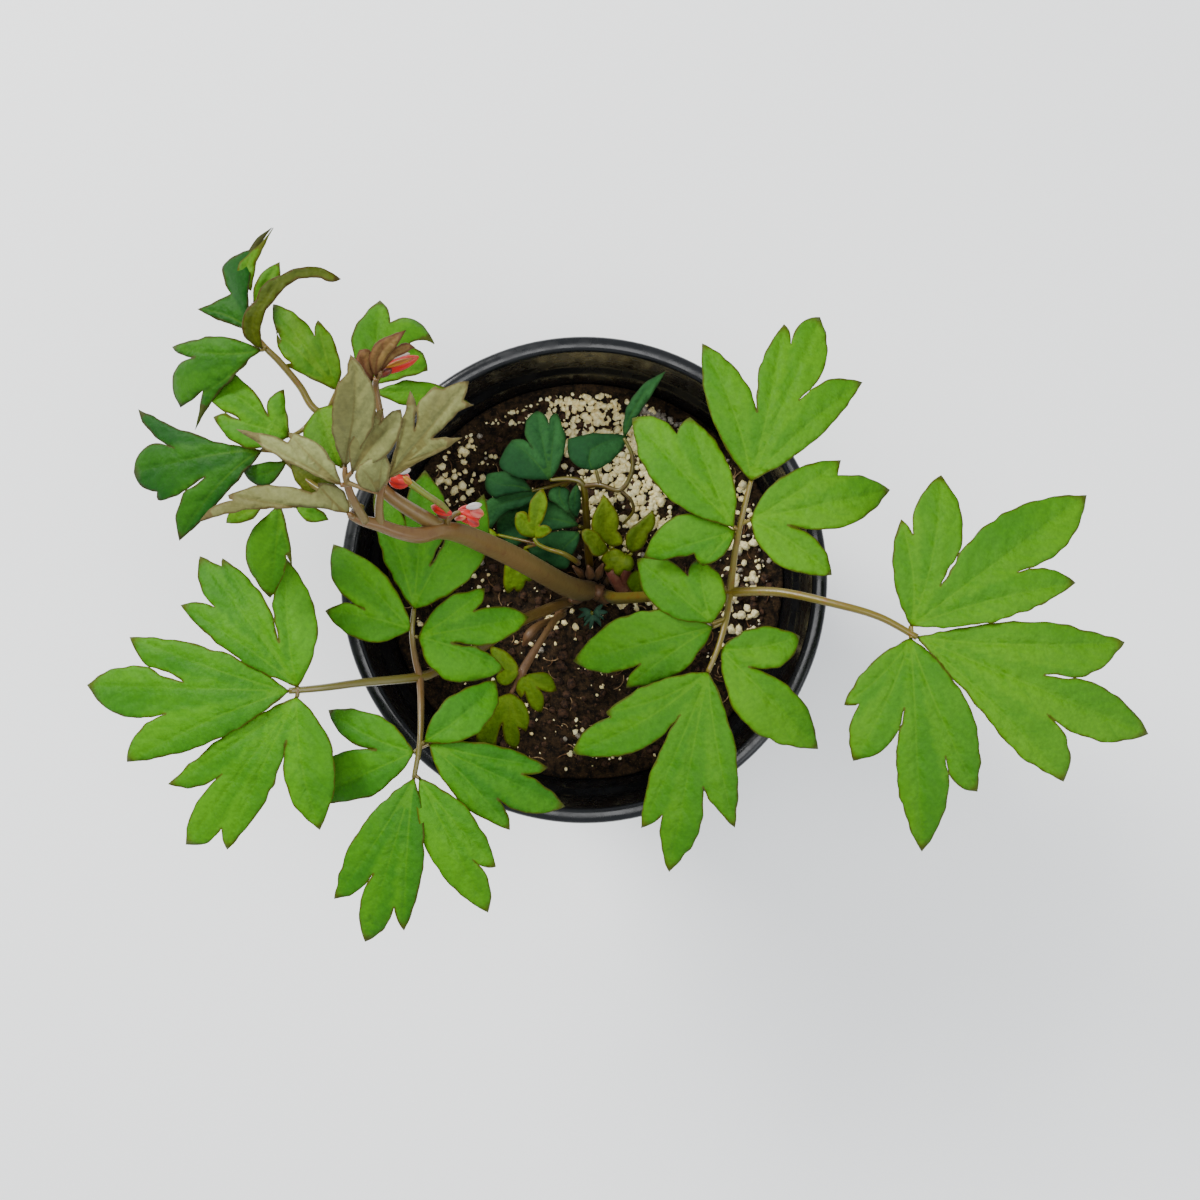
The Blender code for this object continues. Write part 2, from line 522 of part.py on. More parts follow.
def seated(knots, leaflets):
    """The stalk with its last knot on the root of the leaflet that it reaches."""
    x, y, _, across = knots[-1]
    near = [(math.hypot(root[0] - x, root[1] - y), heights[0], root) for heights, root, _ in leaflets]
    if not near or min(near)[0] > ROOT_REACH:
        return knots
    _, height, root = min(near)
    return [*knots[:-1], (*root, height - RIB_DEPTH, across)]


def material(name, colour, roughness, metallic=0.0):
    made = bpy.data.materials.new(name)
    made.use_nodes = True
    shader = made.node_tree.nodes["Principled BSDF"]
    shader.inputs["Base Color"].default_value = (*colour, 1)
    shader.inputs["Roughness"].default_value = roughness
    shader.inputs["Metallic"].default_value = metallic
    made.diffuse_color = (*colour, 1)
    return made


def mesh_object(name, mesh, collection):
    made = bpy.data.objects.new(name, mesh)
    collection.objects.link(made)
    return made


def evaluated_mesh(made, weld=0.000002):
    """The object's shape with its modifiers or bevel applied, and its caps welded."""
    graph = bpy.context.evaluated_depsgraph_get()
    graph.update()
    mesh = bpy.data.meshes.new_from_object(made.evaluated_get(graph))
    mesh.transform(made.matrix_world)
    work = bmesh.new()
    work.from_mesh(mesh)
    bmesh.ops.remove_doubles(work, verts=work.verts, dist=weld)
    bmesh.ops.triangulate(work, faces=work.faces)
    bmesh.ops.recalc_face_normals(work, faces=work.faces)
    work.to_mesh(mesh)
    work.free()
    return mesh


def made_solid(made, name, collection):
    """Replaces a curve or a modified object by its plain mesh."""
    mesh = evaluated_mesh(made)
    bpy.data.objects.remove(made)
    return mesh_object(name, mesh, collection)


def blade(name, shape, collection):
    """A leaflet of even thickness, by Solidify on its triangulated surface."""
    points, faces = blade_surface(*shape)
    mesh = bpy.data.meshes.new(name)
    mesh.from_pydata(points, [], faces)
    work = bmesh.new()
    work.from_mesh(mesh)
    bmesh.ops.recalc_face_normals(work, faces=work.faces)
    if sum(face.normal.z for face in work.faces) < 0:
        bmesh.ops.reverse_faces(work, faces=work.faces)
    work.to_mesh(mesh)
    work.free()
    made = mesh_object(name, mesh, collection)
    thick = made.modifiers.new("thickness", "SOLIDIFY")
    thick.thickness = BLADE_THICKNESS
    thick.offset = -1
    return made_solid(made, name, collection)


def smooth_path(knots, parts):
    """A curve through the knots, each four numbers, with this many parts between neighbours."""
    rows = [Vector(knot) for knot in knots]
    rows = [rows[0] * 2 - rows[1]] + rows + [rows[-1] * 2 - rows[-2]]
    path = []
    for a, b, c, d in zip(rows, rows[1:], rows[2:], rows[3:]):
        for i in range(parts):
            t = i / parts
            pull = (b * 2 + (c - a) * t + (a * 2 - b * 5 + c * 4 - d) * t * t
                    + (b * 3 - a - c * 3 + d) * t ** 3)
            path.append(pull * 0.5)
    return path + [rows[-2]]


def stalk(name, knots, collection, extra=0.0, sides=1, parts=1):
    """A tapering round stalk through its knots, with both ends closed."""
    spots = []
    for x, y, height, across in knots:
        spots.append((*lift(x, y, height / 1000), across / 2000 + extra))
    if knots[0][2] < SOIL_TOP * 1000:
        spots[0] = (*spots[1][:2], *spots[0][2:])
    if extra:
        first, second, last, before = (Vector(spots[i][:3]) for i in (0, 1, -1, -2))
        spots[0] = (*(first + (first - second).normalized() * extra), spots[0][3])
        spots[-1] = (*(last + (last - before).normalized() * extra), spots[-1][3])
    path = smooth_path(spots, parts)
    curve = bpy.data.curves.new(name, "CURVE")
    curve.dimensions = "3D"
    curve.bevel_depth = 1.0
    curve.bevel_resolution = sides
    curve.use_fill_caps = True
    line = curve.splines.new("POLY")
    line.points.add(len(path) - 1)
    for point, spot in zip(line.points, path):
        point.co = (spot[0], spot[1], spot[2], 1)
        point.radius = spot[3]
    made = bpy.data.objects.new(name, curve)
    collection.objects.link(made)
    return made_solid(made, name, collection)


def drop_scraps(made):
    """Keeps the largest body of a joined solid, and drops what fusing left loose or sealed in."""
    work = bmesh.new()
    work.from_mesh(made.data)
    left = set(work.verts)
    groups = []
    while left:
        seed = left.pop()
        group = {seed}
        queue = [seed]
        while queue:
            vert = queue.pop()
            for edge in vert.link_edges:
                other = edge.other_vert(vert)
                if other in left:
                    left.remove(other)
                    group.add(other)
                    queue.append(other)
        groups.append(group)
    groups.sort(key=len)
    for group in groups[:-1]:
        bmesh.ops.delete(work, geom=list(group), context="VERTS")
    work.to_mesh(made.data)
    work.free()


def boolean(made, operation, operands):
    """Applies one Boolean with these objects, which are then removed."""
    group = bpy.data.collections.new(made.name + "_operands")
    bpy.context.scene.collection.children.link(group)
    for other in operands:
        for user in list(other.users_collection):
            user.objects.unlink(other)
        group.objects.link(other)
    step = made.modifiers.new(operation.lower(), "BOOLEAN")
    step.operation = operation
    step.operand_type = "COLLECTION"
    step.collection = group
    step.solver = "MANIFOLD"
    mesh = evaluated_mesh(made, weld=0.0000001)
    made.modifiers.clear()
    old = made.data
    made.data = mesh
    bpy.data.meshes.remove(old)
    for other in list(group.objects):
        bpy.data.objects.remove(other)
    bpy.data.collections.remove(group)


def finish(made, look, smooth=40):
    made.data.materials.clear()
    made.data.materials.append(look)
    made.data.shade_smooth()
    made.data.set_sharp_from_angle(angle=math.radians(smooth))
    return made


def leafy(name, leaflets, stalks, look, collection, clear_of=()):
    """One leaf: its blades and stalks fused, and its foot cut clear of the stalks that carry it."""
    made = stalk(name, seated(stalks[0], leaflets), collection, sides=2)
    pieces = []
    for i, knots in enumerate(stalks[1:]):
        pieces.append(stalk(f"{name}_stalk_{i}", seated(knots, leaflets), collection))
    for i, shape in enumerate(leaflets):
        pieces.append(blade(f"{name}_blade_{i}", shape, collection))
        pieces.append(stalk(f"{name}_rib_{i}", rib_of(*shape), collection, sides=0))
    if pieces:
        boolean(made, "UNION", pieces)
    if clear_of:
        cutters = []
        for i, knots in enumerate(clear_of):
            cutters.append(stalk(f"{name}_cutter_{i}", knots, collection, extra=GAP * 1.15, sides=2))
        boolean(made, "DIFFERENCE", cutters)
    drop_scraps(made)
    return finish(made, look)


def turned(name, profile, segments, collection):
    """A solid of revolution about Z from its profile, top to bottom down the outer side."""
    mesh = bpy.data.meshes.new(name)
    edges = [(i, i + 1) for i in range(len(profile) - 1)]
    mesh.from_pydata([(radius, 0, height) for radius, height in profile], edges, [])
    made = mesh_object(name, mesh, collection)
    screw = made.modifiers.new("turn", "SCREW")
    screw.steps = segments
    screw.render_steps = segments
    screw.use_merge_vertices = True
    screw.merge_threshold = 0.00001
    return made_solid(made, name, collection)


def wall_radius(height):
    """The pot's outer radius below its collar."""
    top = POT_HEIGHT - COLLAR_HEIGHT
    return BASE_RADIUS + (COLLAR_RADIUS - STEP_IN - BASE_RADIUS) * height / top


def build_pot(look, collection):
    """The pot: tapered wall, collar, rolled lip, floor, and drain openings at the floor's edge."""
    collar = POT_HEIGHT - COLLAR_HEIGHT
    lip = RIM_RADIUS - COLLAR_RADIUS
    round_lip = []
    for i in range(5):
        turn = math.pi * i / 4
        round_lip.append((RIM_RADIUS - LIP_ROUND + LIP_ROUND * math.sin(turn),
                          POT_HEIGHT - LIP_ROUND + LIP_ROUND * math.cos(turn)))
    profile = [(0, FLOOR)]
    profile += [(wall_radius(FLOOR) - WALL - 0.004, FLOOR), (wall_radius(0.006) - WALL, 0.006)]
    profile += [(wall_radius(collar - 0.003) - WALL, collar - 0.003)]
    profile += [(COLLAR_RADIUS - WALL, collar), (COLLAR_RADIUS - WALL, POT_HEIGHT - 0.0012)]
    profile += [(COLLAR_RADIUS - WALL + 0.0012, POT_HEIGHT)]
    profile += round_lip
    profile += [(COLLAR_RADIUS, POT_HEIGHT - lip - 0.0015), (COLLAR_RADIUS, collar + 0.001)]
    profile += [(wall_radius(collar), collar - 0.001)]
    profile += [(wall_radius(0.003), 0.003), (BASE_RADIUS - 0.003, 0), (0, 0)]
    made = turned("pot", profile, POT_SEGMENTS, collection)
    holes = []
    for i in range(DRAIN_HOLES):
        turn = 2 * math.pi * (i + 0.5) / DRAIN_HOLES
        bpy.ops.mesh.primitive_cylinder_add(
            vertices=10, radius=DRAIN_RADIUS, depth=DRAIN_DEPTH,
            location=(DRAIN_CIRCLE * math.cos(turn), DRAIN_CIRCLE * math.sin(turn), 0.0))
        holes.append(bpy.context.object)
    boolean(made, "DIFFERENCE", holes)
    return finish(made, look, 35)


def soil_height(x, y):
    """The soil's top: a low crown in the middle, and small lumps."""
    reach = math.hypot(x, y) / wall_radius(SOIL_TOP)
    lumps = noise.noise(Vector((x, y, 0.3)) * 95) * 0.0016 + noise.noise(Vector((x, y, 1.7)) * 240) * 0.0008
    return SOIL_TOP + SOIL_CROWN * (1 - reach * reach) + lumps


def grain_spots():
    """Where the larger perlite grains lie: a sunflower spread, kept where the soil shows."""
    spots = []
    for i in range(GRAIN_COUNT):
        reach = GRAIN_REACH * math.sqrt((i + 0.5) / GRAIN_COUNT)
        turn = GOLDEN_TURN * i
        spots.append((reach * math.cos(turn), reach * math.sin(turn), 0.0014 + 0.0009 * (i * 7 % 5) / 4))
    return spots


def build_soil(look, collection, stems):
    """The soil fills the pot, carries the perlite as bumps, and has a plain hole for each stem."""
    outer = wall_radius(SOIL_TOP) - WALL - GAP
    bottom = FLOOR + GAP
    work = bmesh.new()
    centre = work.verts.new((0, 0, soil_height(0, 0)))
    loops = []
    for ring in SOIL_RINGS:
        loop = []
        for k in range(SOIL_SECTORS):
            turn = 2 * math.pi * (k + 0.5 * (len(loops) % 2)) / SOIL_SECTORS
            if ring == 1.0:
                turn = 2 * math.pi * k / SOIL_SECTORS
            x, y = outer * ring * math.cos(turn), outer * ring * math.sin(turn)
            height = soil_height(x, y)
            trim = (wall_radius(height) - WALL - GAP) / outer if ring == 1.0 else 1.0
            loop.append(work.verts.new((x * min(1, trim) * 0.999, y * min(1, trim) * 0.999, height)))
        loops.append(loop)
    for radius, height in ((wall_radius(0.0065) - WALL - GAP, 0.0065), (wall_radius(FLOOR) - WALL - 0.0046, bottom)):
        loop = []
        for k in range(SOIL_SECTORS):
            turn = 2 * math.pi * k / SOIL_SECTORS
            loop.append(work.verts.new((radius * 0.997 * math.cos(turn), radius * 0.997 * math.sin(turn), height)))
        loops.append(loop)
    for k in range(SOIL_SECTORS):
        work.faces.new((centre, loops[0][k], loops[0][(k + 1) % SOIL_SECTORS]))
    for i, (inner, wide) in enumerate(zip(loops, loops[1:])):
        for k in range(SOIL_SECTORS):
            after = (k + 1) % SOIL_SECTORS
            work.faces.new((inner[k], wide[k], wide[after]))
            work.faces.new((inner[k], wide[after], inner[after]))
    work.faces.new(list(reversed(loops[-1])))
    bmesh.ops.triangulate(work, faces=work.faces)
    bmesh.ops.recalc_face_normals(work, faces=work.faces)
    mesh = bpy.data.meshes.new("soil")
    work.to_mesh(mesh)
    work.free()
    made = mesh_object("soil", mesh, collection)
    grains = []
    for i, (x, y, radius) in enumerate(grain_spots()):
        if any((Vector((x, y)) - foot.xy).length < radius + reach + 0.0012 for foot, reach in stems):
            continue
        bpy.ops.mesh.primitive_ico_sphere_add(subdivisions=1, radius=radius,
                                              location=(x, y, soil_height(x, y) + radius * 0.35),
                                              rotation=(i * 0.7, i * 1.3, i * 0.4))
        grains.append(bpy.context.object)
    boolean(made, "UNION", grains)
    holes = []
    for i, (foot, reach) in enumerate(stems):
        bpy.ops.mesh.primitive_cylinder_add(vertices=14, radius=reach + 2 * GAP, depth=0.06,
                                            location=(foot.x, foot.y, foot.z - GAP + 0.03))
        holes.append(bpy.context.object)
    boolean(made, "DIFFERENCE", holes)
    drop_scraps(made)
    return finish(made, look, 60)


def bud(name, base, tip, low, high, across, look, collection, clear_of):
    """A closed bud in one piece: an egg turned about its own axis, cut clear of the stalks near it."""
    start, end = lift(*base, low / 1000), lift(*tip, high / 1000)
    span = (end - start).length
    profile = [(0, span)]
    for share, width in ((0.93, 0.42), (0.78, 0.80), (0.52, 1.0), (0.28, 0.86), (0.10, 0.55)):
        profile.append((across / 2000 * width, span * share))
    profile.append((0, 0))
    made = turned(name, profile, 10, collection)
    made.data.transform(Matrix.Translation(start) @ (end - start).to_track_quat("Z", "Y").to_matrix().to_4x4())
    cutters = []
    for i, knots in enumerate(clear_of):
        cutters.append(stalk(f"{name}_cutter_{i}", knots, collection, extra=GAP * 1.15))
    boolean(made, "DIFFERENCE", cutters)
    drop_scraps(made)
    return finish(made, look)


def main():
    for old in list(bpy.data.objects):
        bpy.data.objects.remove(old)
    parts = bpy.data.collections.new(OBJECT)
    bpy.context.scene.collection.children.link(parts)
    layer = bpy.context.view_layer.layer_collection.children[parts.name]
    bpy.context.view_layer.active_layer_collection = layer
    black = material("pot_plastic", (0.012, 0.013, 0.015), 0.3)
    earth = material("soil", (0.03, 0.02, 0.013), 0.95)
    brown = material("stem_brown", (0.2, 0.1, 0.07), 0.5)
    green = material("leaf_green", (0.13, 0.33, 0.04), 0.5)
    bronze = material("leaf_bronze", (0.26, 0.26, 0.13), 0.55)
    deep = material("leaf_deep", (0.03, 0.12, 0.03), 0.5)
    lime = material("leaf_lime", (0.24, 0.36, 0.05), 0.5)
    red = material("petal_red", (0.62, 0.07, 0.05), 0.45)
    build_pot(black, parts)
    leafy("flowering_stem", [], STEM_STALKS, brown, parts)
    leafy("right_leaf", RIGHT_LEAFLETS, RIGHT_STALKS, green, parts)
    leafy("left_leaf", LEFT_LEAFLETS, LEFT_STALKS, green, parts)
    leafy("bronze_leaf_middle", BRONZE_MIDDLE_LEAFLETS, BRONZE_MIDDLE_STALKS, bronze, parts, STEM_STALKS)
    leafy("bronze_leaf_right", BRONZE_RIGHT_LEAFLETS, BRONZE_RIGHT_STALKS, bronze, parts, STEM_STALKS)
    leafy("bronze_leaf_low", BRONZE_LOW_LEAFLETS, BRONZE_LOW_STALKS, bronze, parts, STEM_STALKS)
    leafy("far_leaf", FAR_LEAFLETS, FAR_STALKS, green, parts, STEM_STALKS)
    leafy("hanging_leaf", HANGING_LEAFLETS, HANGING_STALKS, green, parts, STEM_STALKS)
    leafy("back_leaf", BACK_LEAFLETS, BACK_STALKS, green, parts, STEM_STALKS)
    leafy("dark_leaf", DARK_LEAFLETS, DARK_STALKS, deep, parts)
    leafy("yellow_shoot", YELLOW_LEAFLETS, YELLOW_STALKS, lime, parts)
    leafy("olive_shoot", OLIVE_LEAFLETS, OLIVE_STALKS, lime, parts)
    leafy("low_shoot", LOW_LEAFLETS, LOW_STALKS, lime, parts)
    leafy("bud_scales", [], BUD_SCALE_STALKS, brown, parts)
    leafy("low_raceme", [], LOW_RACEME_STALKS, brown, parts, STEM_STALKS)
    leafy("top_tuft", TUFT_LEAFLETS, TUFT_STALKS, bronze, parts, STEM_STALKS)
    leafy("seedling", SEEDLING_LEAFLETS, SEEDLING_STALKS, deep, parts)
    for name, shape in BUDS.items():
        bud(name, *shape, red, parts, TUFT_STALKS + LOW_RACEME_STALKS + STEM_STALKS)
    stems = []
    for stalks in (STEM_STALKS, RIGHT_STALKS, LEFT_STALKS, DARK_STALKS, YELLOW_STALKS, OLIVE_STALKS, LOW_STALKS,
                   BUD_SCALE_STALKS, SEEDLING_STALKS):
        foot = stalks[0][0]
        collar = stalks[0][1]
        spot = lift(collar[0], collar[1], collar[2] / 1000)
        spot.z = foot[2] / 1000
        stems.append((spot, collar[3] / 2000))
    build_soil(earth, parts, stems)


main()
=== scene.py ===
"""Look of the bleeding heart plant in its pot: each leaf, stem and bud finely built over its solid."""

import math
import random

import bmesh
import bpy
import numpy as np
from mathutils import Matrix, Vector, geometry, noise


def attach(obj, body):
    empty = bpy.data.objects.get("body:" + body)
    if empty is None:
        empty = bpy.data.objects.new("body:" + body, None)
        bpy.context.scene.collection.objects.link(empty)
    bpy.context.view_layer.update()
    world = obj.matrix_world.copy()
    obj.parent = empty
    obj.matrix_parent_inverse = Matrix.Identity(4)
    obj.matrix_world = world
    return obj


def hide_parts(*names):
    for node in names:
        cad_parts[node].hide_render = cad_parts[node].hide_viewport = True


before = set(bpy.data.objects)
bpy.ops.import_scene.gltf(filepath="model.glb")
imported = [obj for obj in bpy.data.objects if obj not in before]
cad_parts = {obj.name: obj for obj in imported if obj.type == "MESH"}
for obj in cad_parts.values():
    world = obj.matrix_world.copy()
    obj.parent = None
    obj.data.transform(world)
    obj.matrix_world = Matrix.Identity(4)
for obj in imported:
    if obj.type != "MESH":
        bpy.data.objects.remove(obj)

# The view from above that the outlines are drawn in: eye height, its axis, its middle and its scale in pixels
EYE_HEIGHT = 0.610
AXIS_X = 0.0055
AXIS_Y = -0.0069
VIEW_CENTRE = 600
VIEW_FOCAL = 1298
VIEW_WIDTH = 1200

# Seed of the random draws, and of the edges' noise, which would else follow the clock
SEED = 11

# Blade meshes, in metres: steps along the edge and inside it, how much closer rows lie than points, thickness
FINE_EDGE = 0.0012
FINE_STEP = 0.0015
ROW_PITCH = 0.87
FINE_THICKNESS = 0.00045
VEIN_MARGIN = 0.0006

# The waver of a blade's edge: its size in metres, its rate per view pixel, and the pixels that calm it at corners
EDGE_WAVER = 0.0006
WAVER_SEED = 7.0
WAVER_RATE = 0.085
WAVER_CALM = 16

# Veins to the lobes: how much they keep their own way and the longest vein's, and how far that pulls them
VEIN_OWN, VEIN_SHARED, VEIN_PULL = 0.7, 0.3, 0.45

# Side veins: step in view pixels, turn off the main vein in radians, length as a share of the main vein's, the
# loss of it towards the tip, the bend forward, and the share of the main vein over which its way is taken
SIDE_VEIN_STEP = 22
SIDE_VEIN_TURN = 0.75
SIDE_VEIN_REACH, SIDE_VEIN_LOSS = 0.34, 0.7
SIDE_VEIN_BEND = 0.35
SIDE_VEIN_SPAN = 0.05

# A blade's relief in mm: the crease, the puckers between small veins, and the sunk main veins, each with its
# depth and width; then the swells, as rates and sizes in metres
CREASE, CREASE_WIDTH = 1.1, 5.0
PUCKER, PUCKER_WIDTH, PUCKER_RIM, PUCKER_FADE = 0.55, 1.1, 2.5, 12
SUNK, SUNK_WIDTH = 0.45, 0.7
SWELLS = ((60, 0.0008), (170, 0.00035))
SWELL_SEED = 0.11

# Ribs under the blades: parts, depth, radius at the root and loss per part in mm; clear edge in metres
RIB_PARTS = 12
RIB_DEPTH = 1.0
RIB_RADIUS, RIB_TAPER = 0.50, 0.038
RIB_MARGIN = 0.0008
RIB_SIDES = 6
RIB_TONE = 0.4

# Stalks end this deep in mm under a leaflet's root, if it is no more than this many view pixels away
SEAT_DEPTH = 0.35
ROOT_REACH = 13
STALK_PARTS = 8
STALK_SIDES, BRANCH_SIDES = 20, 14

# What the materials read at each point: distances from veins and rim in mm, side, share along, nearness to a tip; the
# side mark carries painted light and shade, on the two halves of each blade and on the ridges and grooves of the
# petals
REST = {"vein": 9.0, "small": 9.0, "rim": 9.0, "side": 0.0, "along": 0.0, "tip": 0.0, "tint": 0.0}
# Painted light and shade: over this many mm from a main vein the painted lighter and darker halves of a blade build
# up
HALF_EDGE = 1.5
LOBE_LEAST = 8
TINT_SEED = 5.3
# Strength of the painted light and shade on the two halves of each blade
PAINTED_HALF_SHADE = 0.22
MARGIN = 0.42

# Display colours: how far they are pushed from grey, how bright the light leaves them, and the darkest albedo
LUMINANCE = (0.2126, 0.7152, 0.0722)
RICHNESS = 1.5
SHADE = 0.42
DARKEST = 0.0008

# Pot, in metres
RIM_RADIUS = 0.0840
POT_HEIGHT = 0.165
LIP_ROUND = 0.0022
COLLAR_RADIUS = 0.0802
COLLAR_HEIGHT = 0.028
STEP_IN = 0.0022
BASE_RADIUS = 0.0640
WALL = 0.0018
FLOOR = 0.0025
CORNER_ROUND = 0.0009
AXIS_GAP = 0.0005
POT_SEGMENTS = 160
DRAIN_HOLES = 6
DRAIN_RADIUS = 0.0045
DRAIN_CIRCLE = 0.062
DRAIN_DEPTH = 0.012

# Soil: its top, its crown, the clearance to the pot, and the mesh's rings and sectors
SOIL_TOP = 0.1215
SOIL_CROWN = 0.0025
SOIL_GAP = 0.0003
SOIL_FOOT = 0.0065
SOIL_RINGS = 62
SOIL_SECTORS = 300
# Large and small lumps, crumbs and fine crumbs: rate, seed, size
SOIL_LUMPS = ((95, 0.3, 0.0016), (240, 1.7, 0.0008), (520, 4.1, 0.0007), (900, 7.7, 0.0007))

# Perlite: (box in the view), count, kind, least and greatest radius; then a thin scatter over the whole top
GRAIN_PATCHES = (
    ((548, 655, 368, 455), 620, 1, 0.0006, 0.0017),
    ((580, 672, 432, 528), 430, 0, 0.0007, 0.0020),
    ((640, 710, 372, 428), 190, 2, 0.0006, 0.0018),
    ((728, 758, 480, 640), 66, 0, 0.0008, 0.0021),
    ((752, 800, 500, 640), 46, 2, 0.0006, 0.0016),
    ((432, 484, 428, 505), 62, 1, 0.0006, 0.0018),
    ((470, 560, 372, 425), 110, 0, 0.0005, 0.0015),
    ((548, 576, 600, 634), 12, 1, 0.0012, 0.0024),
    ((615, 730, 600, 650), 40, 1, 0.0006, 0.0019),
    ((590, 640, 520, 560), 30, 0, 0.0005, 0.0016),
)
GRAIN_SCATTER = (
    (300, 0, 0.0003, 0.0013), (150, 1, 0.0003, 0.0015), (120, 2, 0.0003, 0.0013), (700, 3, 0.0006, 0.0021))
GRAIN_HEIGHT = 0.124
GRAIN_REACH = 0.0715
COARSE_GRAIN = 0.0009
PEBBLE_RAGGED, PEBBLE_RATE = 0.6, 1.9
PEBBLE_WIDTH, PEBBLE_HEIGHT = 0.85, 0.8

# Root fibres, in metres
FIBRES = 260
FIBRE_SPREAD = 0.070
FIBRE_REACH = 0.072
FIBRE_SHORT, FIBRE_RANGE = 0.002, 0.006
FIBRE_THIN, FIBRE_SWELL = 0.00014, 0.0001
FIBRE_LIFT = 0.0002
FIBRE_BEND = 0.8
FIBRE_KNOTS = 6
FIBRE_SIDES = 5

# Grain and fibre looks: light and dark display colours, roughness
GRAIN_LOOKS = {
    "perlite_white": ((255, 246, 196), (224, 206, 142), 0.8),
    "perlite_cream": ((255, 244, 190), (230, 206, 138), 0.8),
    "perlite_grey": ((168, 160, 146), (110, 100, 86), 0.8),
    "bark_bits": ((74, 50, 32), (30, 19, 12), 0.9),
}
FIBRE_LOOKS = {
    "fibre_brown": ((118, 84, 52), (66, 44, 28), 0.9),
    "fibre_pale": ((170, 140, 100), (110, 84, 56), 0.9),
}

# Stalk looks: display colours at the foot, at the far end and of the specks, then the roughness
STALK_LOOKS = {
    "rachis_olive": ((142, 132, 86), (132, 120, 64), (136, 90, 60), 0.38),
    "rachis_dark": ((126, 102, 74), (112, 108, 52), (110, 84, 50), 0.38),
    "petiole_brown": ((92, 74, 44), (112, 108, 56), (96, 66, 46), 0.38),
    "stem_brown": ((142, 126, 92), (134, 104, 74), (112, 78, 56), 0.38),
    "stalk_pale": ((112, 84, 58), (140, 148, 62), (124, 80, 60), 0.38),
    "crown_scale": ((124, 102, 72), (136, 106, 84), (98, 70, 54), 0.55),
    "scale_pink": ((156, 116, 94), (140, 86, 78), (180, 140, 116), 0.5),
}

# Blade looks: light, dark, margin and vein as display colours, then what departs from the usual blade
BLADE_LOOKS = {
    "blade_green": ((126, 172, 38), (96, 143, 30), (92, 70, 44), (146, 190, 86), {}),
    "under_green": ((112, 146, 72), (90, 124, 52), (92, 74, 50), (146, 172, 100), {}),
    "blade_left": ((122, 172, 32), (84, 132, 20), (92, 68, 40), (144, 190, 76), {}),
    "blade_shade": ((90, 134, 46), (50, 92, 32), (78, 62, 40), (122, 156, 72), {}),
    "blade_olive": ((112, 122, 62), (80, 92, 42), (84, 62, 40), (136, 144, 84), {}),
    "blade_fresh": ((132, 168, 60), (98, 140, 40), (96, 78, 44), (158, 188, 90), {}),
    "blade_bronze": ((176, 180, 138), (138, 137, 102), (98, 70, 50), (110, 94, 62),
                     {"brown": 0.55, "veins": 0.25, "relief": 1.0}),
    "under_bronze": ((140, 138, 98), (104, 100, 68), (74, 54, 40), (144, 142, 92), {}),
    "blade_tuft": ((158, 138, 102), (116, 74, 62), (84, 44, 38), (96, 56, 46),
                   {"brown": 0.6, "veins": 0.3, "relief": 1.0}),
    # The centre leaf: its own blue-green, darkened further with painted shade for its place low in the pot
    "blade_deep_painted_shade": ((76, 114, 76), (38, 70, 46), (50, 52, 30), (84, 120, 60), {"brown": 0.3, "roughness": 0.78}),
    "blade_lime": ((146, 172, 78), (102, 130, 52), (112, 78, 48), (152, 172, 76), {"brown": 0.5}),
    "blade_young": ((132, 150, 80), (94, 114, 54), (108, 72, 46), (144, 156, 80), {"brown": 0.4}),
    "blade_blue": ((92, 122, 104), (58, 86, 70), (64, 76, 60), (108, 144, 112), {"brown": 0.2}),
}

# Petal looks: light, dark and tip as display colours; light is painted light on the ridges, dark is painted shade in
# the grooves
PETAL_LOOKS = {
    "petal_red": ((222, 80, 72), (146, 32, 32), (196, 88, 70)),
    "petal_pink": ((232, 150, 138), (196, 84, 80), (214, 150, 96)),
    "petal_white": ((244, 242, 238), (214, 206, 200), (232, 214, 200)),
    "petal_tan": ((212, 160, 100), (150, 96, 60), (170, 110, 70)),
    "petal_dark": ((120, 60, 44), (66, 26, 24), (90, 40, 32)),
}

